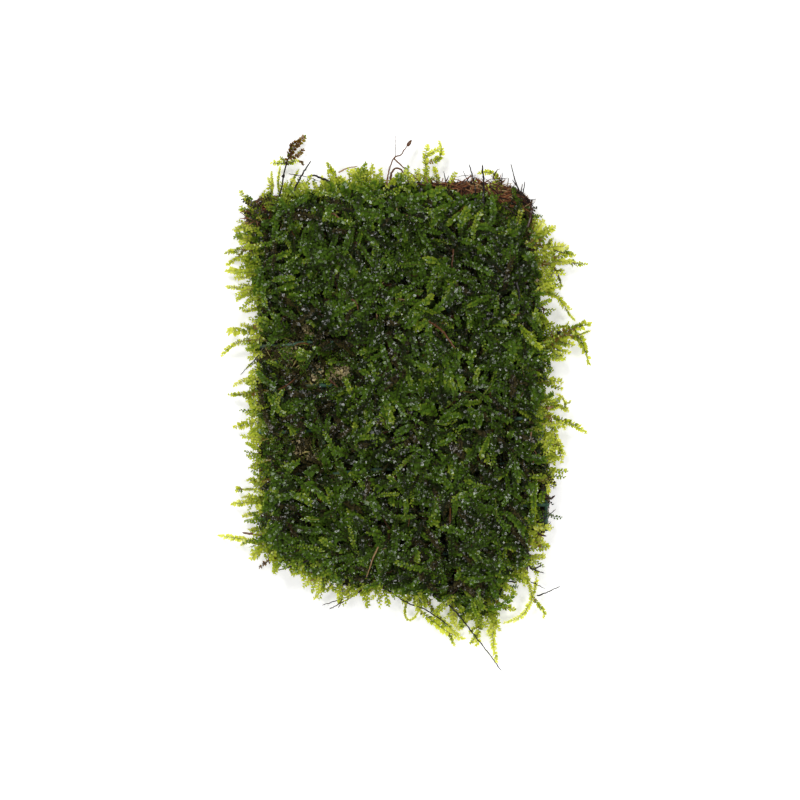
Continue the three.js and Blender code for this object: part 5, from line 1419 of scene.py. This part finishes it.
def carpet_layer(name, share, depth, rises, longer, tone, wider, patchy):
    """One layer of the carpet: sprigs that lie over each other in all directions, but drift in sweeps."""
    growth = bpy.context.scene.moss_growth
    rng = seeded(name)
    x, y = moss_places(round(growth.sprigs * share), rng, patchy)
    count = len(x)
    z = np.maximum(moss_top(x, y) - rng.uniform(*depth, count), 1.2)
    drift = np.sin(x / 7.5 + 1) + np.sin(y / 9.1) + np.sin((x + y) / 13)
    heading = 2.2 * drift + rng.normal(0, 0.9, count)
    pitch = np.radians(rng.uniform(*rises, count))
    length = growth.sprig_length / MM * longer * rng.uniform(0.6, 1.3, count)
    turn, sag = rng.normal(0, 0.55, count), pitch + rng.uniform(0.1, 0.7, count)
    roots = np.column_stack([x, y, z])
    # A sprig that would reach out past the edge is turned round
    tip = bent_stems(roots, heading, pitch, turn, sag, length)[:, -1]
    heading = np.where(inset(MOSS_CURVE, tip[:, 0], tip[:, 1]) < -0.6, heading + np.pi, heading)
    stems = bent_stems(roots, heading, pitch, turn, sag, length)
    stems[..., 2] = np.maximum(stems[..., 2], 1)
    tip = stems[:, -1]
    # Few of them hang over a worn patch
    clear = worn(*stems[:, 4, :2].T) + worn(*tip[:, :2].T) < rng.uniform(0.1, 1.05, count)
    stems, tip, x, y = (values[clear] for values in (stems, tip, x, y))
    count = len(x)
    lighter, dead = moods(x, y)
    # Sprigs near the edges get painted backlight: lighter, yellower tones where light comes through from the
    # floor
    glow = painted_backlight(tip[:, 0], tip[:, 1])
    shade = tone + rng.normal(0, 0.11, count) + lighter + 0.09 * glow
    dead = rng.random(count) < dead
    lightest = LIGHTEST_LEAF + 0.3 * glow
    shade = np.where(dead, rng.uniform(*DEAD_TONES, count), np.clip(shade, DARKEST_LEAF, lightest))
    reach = longer * growth.sprig_width / MM / 2 * rng.uniform(0.75, 1.3, count)
    roll = rng.normal(0, 0.25, count)
    shape, leaf = (FULL_LEAF, moss_leaf()) if name == "upper_sprigs" else (PLAIN_LEAF, deep_leaf())
    pitch = wider * growth.leaf_pitch / MM
    leaf_part, stem_part = sprig_parts(stems, reach, shade, rng, roll, pitch, 0.4, shape)
    piece(name, [(leaf, [leaf_part]), (moss_stem(), [stem_part])], ["moss_carpet"])


# How thick the fringe is up the left and the right edge: place up the mat, then the share of sprigs
LEFT_FRINGE = [
    (-50, 0.5), (-46, 0.9), (-31, 0.9), (-26, 0.5), (-20, 1), (-8, 1), (0, 0.7), (6, 1), (9, 0.15),
    (13, 0.25), (16, 1), (20, 0.8), (22, 0.12), (25, 0.15), (27, 0.8), (30, 1), (43, 1), (48, 0.5), (54, 0.3),
]
RIGHT_FRINGE = [
    (-56, 0.8), (-45, 1), (-40, 0.2), (-28, 0.2), (-24, 0.8), (-3, 1), (1, 0.3), (4, 0.15), (7, 0.9), (13, 1),
    (16, 0.3), (22, 0.25), (26, 0.6), (31, 0.8), (36, 0.5), (44, 0.5), (48, 0.3), (54, 0.15),
]


def rim_density(x, y):
    """How thick the fringe of the moss is along its edge."""
    left, right = (np.interp(y, *np.array(fringe).T) for fringe in (LEFT_FRINGE, RIGHT_FRINGE))
    ends = np.where(y > 0, np.where(x > 9, 0.2, 0.9), 0.7)
    return np.where(np.abs(x) > 33, np.where(x < 0, left, right), ends)


def rim():
    """The fringe: sprigs that lean out over the edge, yellow green where light comes through them."""
    growth = bpy.context.scene.moss_growth
    rng = seeded("rim")
    root, ahead, outward = edge_places(MOSS_CURVE, growth.rim_sprigs, 1, rng)
    each = (growth.rim_sprigs, 1)
    root = root - outward * rng.uniform(-0.8, 6, each) + ahead * rng.uniform(-1, 1, each)
    grown = rng.random(len(root)) < rim_density(*root.T) * (0.3 + 0.7 * clumps(*(root.T * 0.8)))
    root, outward = root[grown], outward[grown]
    x, y = root.T
    count = len(x)
    z = np.maximum(moss_top(x, y) - rng.uniform(0, 3.2, count), 1.6)
    heading = np.arctan2(outward[:, 1], outward[:, 0]) + rng.normal(0, 0.62, count)
    pitch = rng.uniform(-0.25, 0.55, count)
    length = growth.sprig_length / MM * rng.uniform(0.4, 0.95, count)
    turn, sag = rng.normal(0, 0.45, count), pitch + rng.uniform(0.2, 0.9, count)
    stems = bent_stems(np.column_stack([x, y, z]), heading, pitch, turn, sag, length)
    stems[..., 2] = np.maximum(stems[..., 2], 0.9)
    # Sprigs are painted lighter and yellower the further their tips reach past the edge: painted light that
    # comes through from the floor
    out = -inset(MOSS_CURVE, *stems[:, -1, :2].T)
    shade = np.clip(0.38 + 0.42 * smoothstep(-3.4, 3.8, out) + rng.normal(0, 0.1, count), 0.15, 1)
    reach = growth.sprig_width / MM / 2 * rng.uniform(0.8, 1.3, count)
    roll = rng.normal(0, 0.4, count)
    pitch = 1.2 * growth.leaf_pitch / MM
    leaf_part, stem_part = sprig_parts(stems, reach, shade, rng, roll, pitch, 0.44, FULL_LEAF, -0.24)
    piece("rim_sprigs", [(moss_leaf(), [leaf_part]), (moss_stem(), [stem_part])], ["moss_carpet"])


# How much lighter each corner of a leaf is, from foot to tip, on top of the moss and past its edge
FROND_LIT = [-0.18, -0.02, -0.02, 0.04, 0.04, 0.08]
SHOOT_LIT = [-0.26, -0.06, -0.06, 0.02, 0.02, 0.1]


def top_fronds():
    """The fronds that show most on top of the moss, on their traced routes."""
    growth = bpy.context.scene.moss_growth
    rng = seeded("top fronds")
    leaf_parts, stem_parts = [], []
    for width, tone, *route in TOP_FRONDS:
        plan = smooth_route(route, 0.8)
        along = np.linspace(0, 1, len(plan))
        lift = 1.3 * smoothstep(0, 0.45, along) - 0.5 * smoothstep(0.7, 1, along) + rng.uniform(-0.1, 0.4)
        path = np.column_stack([plan, np.maximum(moss_top(*plan.T), MOSS_TOP - 1.5) - 0.6 + lift])[None]
        reach, roll = np.array([width / 2 * 1.2]), rng.normal(0, 0.2, (1, 1, 1))
        vertices, faces, share = leaves(path, reach, growth.leaf_pitch / MM, FULL_LEAF, 0.42, rng, 60, roll)
        # As on the sprigs, leaves get lighter towards the tip, with painted light at each leaf's tip and
        # painted shade at its foot
        shade = leaf_tones(tone - 0.05 + 0.12 * (share - 0.5), 0.035, FROND_LIT, rng)
        leaf_parts.append((vertices, faces, np.clip(shade, 0, 0.7).ravel()))
        stem_parts.append((*rods(path, STEM_RADIUS * tapering(path.shape[1], 1, 0.3)), MIDDLE_TONE))
    piece("top_fronds", [(moss_leaf(), leaf_parts), (moss_stem(), stem_parts)], ["moss_carpet"])


# Tone of the leaves at the root and at the tip, where it isn't the usual
SHOOT_TONES = {
    "brown_frond": 6 * [(0.1, 0.2)] + 4 * [(0.4, 0.74)], "orange_tipped_shoot": (0.5, 0.1),
    "corner_shoot": (0.5, 0.66), "top_shoot_1": (0.3, 0.6), "right_shoot_1": (0.18, 0.62),
    "right_shoot_2": (0.2, 0.7), "right_spray": (0.24, 0.72), "lower_shoot_2": (0.2, 0.74),
}
USUAL_TONES = (0.32, 0.8)
BARE_WIDTH = 0.6  # a branch thinner than this has no leaves
FROND_WIDTH = 2.7  # of one frond, where several lie side by side


def leafy_route(width, route, tones, rng):
    """Leaves and stems of one traced branch, two or three side by side where it is wide."""
    shoots = bpy.context.scene.moss_shoots
    path = smooth_route(route, 0.6)[None]
    steps = path.shape[1]
    if width < BARE_WIDTH:
        return None, (*rods(path, width / 2 * tapering(steps, 1, 0.6), 5), 0.06)
    fronds = max(1, round(width / FROND_WIDTH))
    lanes = (np.arange(fronds) - (fronds - 1) / 2) * width / fronds
    apart = np.interp(np.linspace(0, 1, steps), [0, 0.25, 0.85, 1], [0.4, 1, 1, 0.7])
    paths = path + lanes[:, None, None] * apart[None, :, None] * directions(path)[1]
    sway = rng.normal(0, 0.25, (fronds, 1))
    sway = sway + 0.35 * np.sin(np.linspace(0, 5, steps) + rng.uniform(0, 6, (fronds, 1)))
    reach = np.full(fronds, width / fronds / 2 * 1.22)
    pitch = min(shoots.leaf_pitch / MM, 0.45 * width)
    vertices, faces, along = leaves(paths, reach, pitch, FULL_LEAF, 0.42, rng, 62, sway[..., None])
    tone = leaf_tones(tones[0] + (tones[1] - tones[0]) * along, 0.1, SHOOT_LIT, rng)
    tone = tone + rng.normal(-0.02, 0.09, (fronds, 1))
    # Over the moss the leaves are kept darker and only past the edge get their light tones: painted light
    # that comes through from the floor
    over_moss = smoothstep(0, 7, inset(MOSS_CURVE, *vertices[:, :2].T))
    tone = np.minimum(tone.ravel(), 1 - 0.62 * over_moss)
    stem_points, stem_faces = rods(paths - [0, 0, 0.12], 0.14 * tapering(steps, 1, 0.3), 5)
    stem_tone = 0.85 if tones == USUAL_TONES else 0.4
    return (vertices, faces, np.clip(tone, 0, 1)), (stem_points, stem_faces, stem_tone)


def shoots():
    """Each long shoot past the edge, on its own traced route, and the short ones together."""
    for name, branches in {**SHOOTS, "short_shoots": SHORT_SHOOTS}.items():
        rng = seeded(name)
        tones = SHOOT_TONES.get(name, USUAL_TONES)
        tones = tones if isinstance(tones, list) else len(branches) * [tones]
        grown = [leafy_route(width, route, tone, rng) for (width, *route), tone in zip(branches, tones)]
        leaf_parts, stem_parts = [leaf for leaf, _ in grown if leaf], [stem for _, stem in grown]
        parts = [(shoot_leaf(), leaf_parts), (moss_stem(), stem_parts)]
        node = "moss_carpet" if name == "short_shoots" else name
        piece(f"{name}_leaves", parts, [node])


# Tone of the bark, where it isn't the usual
BARK_TONES = {
    "black_bristle": 0.02, "long_bristle": 0.12, "corner_bristles": 0.12, "mat_twig": 0.06,
    "black_root": 0.08, "long_black_root": 0.1, "brown_root": 0.3, "brown_arch": 0.64,
    "brown_bark_bit": 0.35, "bud_stem": 0.62, "leaning_twig": 0.25, "right_brown_twig": 0.42,
    "brown_corner_stalk": 0.35, "lower_left_twig": 0.2,
}
USUAL_BARK_TONE = 0.2
# The bud at the end of its stem: middle, length, width, and the way it points, in radians
BUD = ((6.5, 71.4, 5.2), 2.4, 1.2, -0.65)
BUD_TONE = 0.56


def twig_part(diameter, tone, route, rng):
    """One twig on its traced route, crooked and knobbly, and thinner towards its tip."""
    path = smooth_route(route, 0.7)
    steps = len(path)
    path[1:-1] += rng.normal(0, 0.07, (steps - 2, 3))
    thick = diameter / 2 * np.linspace(1.12, 0.6, steps) * rng.uniform(0.86, 1.14, steps)
    thick[-1] *= 0.4
    return *rods(path[None], thick[None], 7), tone + rng.normal(0, 0.04)


def bud(middle, length, width, turn):
    """The orange-red bud, a drop that is thickest at its foot."""
    bm = bmesh.new()
    bmesh.ops.create_uvsphere(bm, u_segments=10, v_segments=7, radius=0.5)
    for vertex in bm.verts:
        along = vertex.co.z + 0.5
        spin = 1.25 - 0.7 * along
        vertex.co = (vertex.co.x * spin * width, vertex.co.z * length, vertex.co.y * spin * width)
    bmesh.ops.rotate(bm, matrix=Matrix.Rotation(turn, 3, "Z"), verts=bm.verts)
    bmesh.ops.recalc_face_normals(bm, faces=bm.faces)
    points, faces = points_of(bm)
    return points + middle, faces, BUD_TONE


def twigs():
    """Twigs, roots and bristles: each named one on its traced route, and the fine ones together."""
    for name, lengths in TWIGS.items():
        rng = seeded(name)
        tone = BARK_TONES.get(name, USUAL_BARK_TONE)
        bits = [twig_part(diameter, tone, route, rng) for diameter, *route in lengths]
        if name == "bud_stem":
            bits.append(bud(*BUD))
        piece(f"{name}_bark", [(bark(), bits)], [name])
    rng = seeded("fine twigs")
    bits = [twig_part(diameter, tone, route, rng) for diameter, tone, *route in FINE_TWIGS]
    piece("fine_twigs", [(bark(), bits)])


def litter():
    """Broken bits of stem, root and husk that lie in the moss."""
    growth = bpy.context.scene.moss_growth
    rng = seeded("litter")
    x, y = moss_places(growth.litter, rng, 0)
    count = len(x)
    places = np.column_stack([x, y, moss_top(x, y) + rng.uniform(-1.4, 0.8, count)])
    length = rng.gamma(2.2, 1.2, count) + 0.5
    stems, radii = lying_fibres(places, rng.uniform(0, 6.3, count), length, 1.3, 0.3, rng)
    tones = rng.choice([0.1, 0.35, 0.55, 0.85], count, p=[0.4, 0.35, 0.15, 0.1])
    piece("moss_litter", [(bark(), [toned_rods(stems, radii, tones, 4)])])


def worn_growth():
    """What is left in the worn patches and the bare corner: dark and bleached stems, and thin sprigs."""
    growth = bpy.context.scene.moss_growth
    rng = seeded("worn growth")
    spots = np.vstack([strewn(patch, 3.6, (0.2, 2.2), rng) for patch in [*WORN_PATCHES, BARE_CORNER]])
    spots = spots[inset(PAD_CURVE, spots[:, 0], spots[:, 1]) > 1]
    spots = spots[~husked(spots[:, 0], spots[:, 1]) | (rng.random(len(spots)) < 0.3)]
    count = len(spots)
    heading, length = rng.uniform(0, 6.3, count), rng.uniform(2, 7, count)
    stems, radii = lying_fibres(spots, heading, length, 1.0, 0.34, rng)
    within = both_ends_over(stems, 0)
    tones = rng.choice([0.05, 0.3, 0.5, 0.95], within.sum(), p=[0.25, 0.25, 0.2, 0.3])
    old_stems = toned_rods(stems[within], radii[within], tones, 4)
    grown = ~husked(spots[:, 0], spots[:, 1]) & (rng.random(count) < 0.5 + 0.5 * (spots[:, 1] > 40))
    spots = spots[grown] + [0, 0, 0.8]
    count = len(spots)
    heading, bow = rng.uniform(0, 6.3, count), rng.normal(0, 0.5, count)
    pitch, sag, length = rng.uniform(0, 0.6, count), rng.uniform(0.2, 0.9, count), rng.uniform(3, 6.5, count)
    sprigs = bent_stems(spots, heading, pitch, bow, sag, length)
    sprigs[..., 2] = np.maximum(sprigs[..., 2], PAD_TOP + 0.3)
    dead = rng.random(count) < 0.4
    shade = np.where(dead, rng.uniform(0.04, 0.11, count), rng.uniform(0.34, 0.62, count))
    reach, roll = growth.sprig_width / MM / 2 * rng.uniform(0.6, 1, count), rng.normal(0, 0.4, count)
    pitch = growth.leaf_pitch / MM
    leaf_part, stem_part = sprig_parts(sprigs, reach, shade, rng, roll, pitch, 0.4, PLAIN_LEAF)
    piece("worn_growth", [(deep_leaf(), [leaf_part]), (moss_stem(), [old_stems, stem_part])])


def husk_bits():
    """Pale bits of dry husk, heaped on the bare ground of the worn patches."""
    rng = seeded("husk bits")
    bm = bmesh.new()
    bmesh.ops.create_icosphere(bm, subdivisions=1, radius=0.5)
    ball, faces = points_of(bm)
    bits = []
    for patch in HUSK_PATCHES:
        spots = strewn(patch, 26, (0, 2), rng)
        count = len(spots)
        size = rng.uniform(0.3, 1.2, (count, 1, 3)) * [1, 1, 0.5]
        lumpy = ball * rng.uniform(0.75, 1.2, (count, len(ball), 1)) * size
        start = np.arange(count)[:, None, None] * len(ball)
        bits.append(((spots[:, None] + lumpy).reshape(-1, 3), (faces + start).reshape(-1, 3).tolist(),
                     np.repeat(rng.uniform(0.5, 1.1, count), len(ball))))
    piece("husk_bits", [(dry_husk(), bits)])


# Studio


def floor():
    """The top of the light table, just under the lowest fibres."""
    bm = bmesh.new()
    low = Matrix.Translation((0, 0, -0.1))
    bmesh.ops.create_grid(bm, x_segments=1, y_segments=1, size=2000, matrix=low)
    mesh = mesh_of(bm, "light_table", kept("opal acrylic", opal_acrylic))
    table = bpy.data.objects.new("light_table", mesh)
    bpy.context.scene.collection.objects.link(table)
    table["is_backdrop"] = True


def softbox(name, place, size, power):
    """A square area light that faces the mat."""
    light = bpy.data.lights.new(name, "AREA")
    light.shape = "SQUARE"
    light.size = size
    light.energy = power
    lamp = bpy.data.objects.new(name, light)
    lamp.location = place
    lamp.rotation_euler = Vector(place).to_track_quat("Z", "Y").to_euler()
    bpy.context.scene.collection.objects.link(lamp)


def camera():
    """Straight above the mat, turned as it lies in the photograph, framing the photograph's width."""
    lens = bpy.data.cameras.new("above")
    lens.sensor_width = SENSOR_WIDTH
    lens.lens = SENSOR_WIDTH * CAMERA_HEIGHT / PHOTO_WIDTH
    lens.clip_end = 10
    holder = bpy.data.objects.new("above", lens)
    holder.location = (PHOTO_CENTRE[0] * MM, PHOTO_CENTRE[1] * MM, (CAMERA_HEIGHT + PAD_TOP) * MM)
    holder.rotation_euler = (0, 0, -math.radians(PHOTO_TURN))
    bpy.context.scene.collection.objects.link(holder)
    bpy.context.scene.camera = holder


# The ring of lamps, in metres: how many, its radius and height, the size of one, and where the first is
LAMPS = 6
RING_RADIUS = 0.7
RING_HEIGHT = 1.04
LAMP_SIZE = 0.28
KEY_TURN = 120  # degrees


def stage():
    """A light table under a ring of six soft lamps, with the brightest at the upper left."""
    studio = bpy.context.scene.moss_studio
    if "light_table" in bpy.data.objects:
        raise RuntimeError("The stage is already there")
    floor()
    for number in range(LAMPS):
        turn = math.radians(KEY_TURN + 360 / LAMPS * number)
        place = (RING_RADIUS * math.cos(turn), RING_RADIUS * math.sin(turn), RING_HEIGHT)
        softbox(f"lamp_{number + 1}", place, LAMP_SIZE, studio.fill if number else studio.key)
    world = bpy.data.worlds.new("studio")
    world.use_nodes = True
    world.node_tree.nodes["Background"].inputs["Color"].default_value = (1, 1, 1, 1)
    world.node_tree.nodes["Background"].inputs["Strength"].default_value = studio.ambient
    bpy.context.scene.world = world
    bpy.context.scene.view_settings.view_transform = "Standard"
    camera()


# The add-on


def colour_property(name, description, hex_colour):
    """A colour that a user can change."""
    return FloatVectorProperty(
        name=name, description=description, subtype="COLOR", size=3, min=0, max=1,
        default=linear(hex_colour)[:3])


class PadSettings(bpy.types.PropertyGroup):
    """The coir pad."""

    fibres: IntProperty(
        name="Fibres", description="Loose fibres on the top, with fewer underneath and round the side",
        default=3600, min=0)
    fibre_diameter: FloatProperty(
        name="Fibre diameter", description="Thickness of a husk fibre", default=0.3 * MM, min=0,
        unit="LENGTH")
    dark: colour_property("Dark coir", "Soaked fibre in the shade", "#2e1a10")
    light: colour_property("Light coir", "Fibre that stands proud", "#84502f")


class WireSettings(bpy.types.PropertyGroup):
    """The coated wire mesh."""

    diameter: FloatProperty(
        name="Diameter", description="Wire with its coat", default=STRAND_DIAMETER * MM, min=0, unit="LENGTH")
    waviness: FloatProperty(
        name="Waviness", description="How far a strand strays from straight", default=0.18 * MM, min=0,
        unit="LENGTH")


class GrowthSettings(bpy.types.PropertyGroup):
    """The carpet of moss."""

    sprigs: IntProperty(name="Sprigs", description="Sprigs in the carpet", default=8000, min=0)
    rim_sprigs: IntProperty(name="Rim sprigs", description="Sprigs in the fringe", default=2300, min=0)
    litter: IntProperty(name="Litter", description="Broken bits that lie in the moss", default=340, min=0)
    sprig_length: FloatProperty(
        name="Sprig length", description="Usual length of a sprig", default=7 * MM, min=0, unit="LENGTH")
    sprig_width: FloatProperty(
        name="Sprig width", description="Across both rows of leaves", default=1.75 * MM, min=0, unit="LENGTH")
    leaf_pitch: FloatProperty(
        name="Leaf pitch", description="From a pair of leaves to the next", default=0.72 * MM, min=0.1 * MM,
        unit="LENGTH")
    translucence: FloatProperty(
        name="Translucence", description="Share of light through a leaf", default=0.35, min=0, max=1,
        subtype="FACTOR")
    # Shade is partly older leaves and partly painted shade low in the moss; young is partly young growth and
    # partly painted light through the leaves near the edge
    shade: colour_property("Shade", "Leaves low in the moss", "#243208")
    green: colour_property("Green", "Leaves on top of the moss", "#527218")
    young: colour_property("Young", "Leaves near the edge", "#a4b034")


class ShootSettings(bpy.types.PropertyGroup):
    """The long shoots past the edge."""

    leaf_pitch: FloatProperty(
        name="Leaf pitch", description="From a pair of leaves to the next", default=0.95 * MM, min=0.1 * MM,
        unit="LENGTH")
    translucence: FloatProperty(
        name="Translucence", description="Share of light through a leaf", default=0.5, min=0, max=1,
        subtype="FACTOR")
    leaf: colour_property("Leaf", "Leaves near the root", "#b6be3c")
    tip: colour_property("Tip", "Leaves near the tip", "#e4e76c")


class StudioSettings(bpy.types.PropertyGroup):
    """Lights of the studio."""

    key: FloatProperty(name="Key", description="Light at the upper left", default=5.6, min=0, unit="POWER")
    fill: FloatProperty(
        name="Fill", description="Each of the five others in the ring", default=2.7, min=0, unit="POWER")
    ambient: FloatProperty(name="Ambient", description="Light from all round", default=0.03, min=0)


class AddPad(bpy.types.Operator):
    """Adds the felted coir pad and its fibres"""

    bl_idname = "moss_mat.add_pad"
    bl_label = "Coir Pad"

    def execute(self, context):
        coir_pad()
        coir_fibres()
        coir_tufts()
        return {"FINISHED"}


class AddWire(bpy.types.Operator):
    """Adds the coated wire mesh"""

    bl_idname = "moss_mat.add_wire"
    bl_label = "Wire Mesh"

    def execute(self, context):
        wire_mesh()
        return {"FINISHED"}


class AddCarpet(bpy.types.Operator):
    """Adds the bed and the sprigs of the moss, its fringe, and what lies in its worn patches"""

    bl_idname = "moss_mat.add_carpet"
    bl_label = "Moss Carpet"

    def execute(self, context):
        moss_bed()
        for name, layer in CARPET_LAYERS.items():
            carpet_layer(name, *layer)
        top_fronds()
        rim()
        worn_growth()
        husk_bits()
        return {"FINISHED"}


class AddShoots(bpy.types.Operator):
    """Adds the long and short shoots past the edge"""

    bl_idname = "moss_mat.add_shoots"
    bl_label = "Shoots"

    def execute(self, context):
        shoots()
        return {"FINISHED"}


class AddTwigs(bpy.types.Operator):
    """Adds the twigs, roots, bristles and litter"""

    bl_idname = "moss_mat.add_twigs"
    bl_label = "Twigs and Roots"

    def execute(self, context):
        twigs()
        litter()
        return {"FINISHED"}


class AddStage(bpy.types.Operator):
    """Adds the light table, the lamps and the camera"""

    bl_idname = "moss_mat.add_stage"
    bl_label = "Stage"

    def execute(self, context):
        stage()
        return {"FINISHED"}


OPERATORS = (AddPad, AddWire, AddCarpet, AddShoots, AddTwigs, AddStage)
SETTINGS = {
    "moss_pad": PadSettings, "moss_wire": WireSettings, "moss_growth": GrowthSettings,
    "moss_shoots": ShootSettings, "moss_studio": StudioSettings,
}


class MossPanel(bpy.types.Panel):
    """Lists the settings and the operators of the moss mat"""

    bl_idname = "VIEW3D_PT_moss_mat"
    bl_label = "Moss Mat"
    bl_space_type = "VIEW_3D"
    bl_region_type = "UI"
    bl_category = "Moss Mat"

    def draw(self, context):
        for name, group in SETTINGS.items():
            box = self.layout.box()
            box.label(text=group.__doc__)
            for field in group.__annotations__:
                box.prop(getattr(context.scene, name), field)
        for operator in OPERATORS:
            self.layout.operator(operator.bl_idname)


CLASSES = (*SETTINGS.values(), *OPERATORS, MossPanel)


def register():
    for kind in CLASSES:
        bpy.utils.register_class(kind)
    for name, group in SETTINGS.items():
        setattr(bpy.types.Scene, name, PointerProperty(type=group))


def unregister():
    for name in SETTINGS:
        delattr(bpy.types.Scene, name)
    for kind in reversed(CLASSES):
        bpy.utils.unregister_class(kind)


def main():
    register()
    bpy.ops.moss_mat.add_stage()
    bpy.ops.moss_mat.add_pad()
    bpy.ops.moss_mat.add_wire()
    bpy.ops.moss_mat.add_carpet()
    bpy.ops.moss_mat.add_shoots()
    bpy.ops.moss_mat.add_twigs()
    boxes = {"cad": CAD_BOX, "visual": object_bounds()}
    {name: [list(corner) for corner in box] for name, box in boxes.items()}


if __name__ == "__main__":
    main()
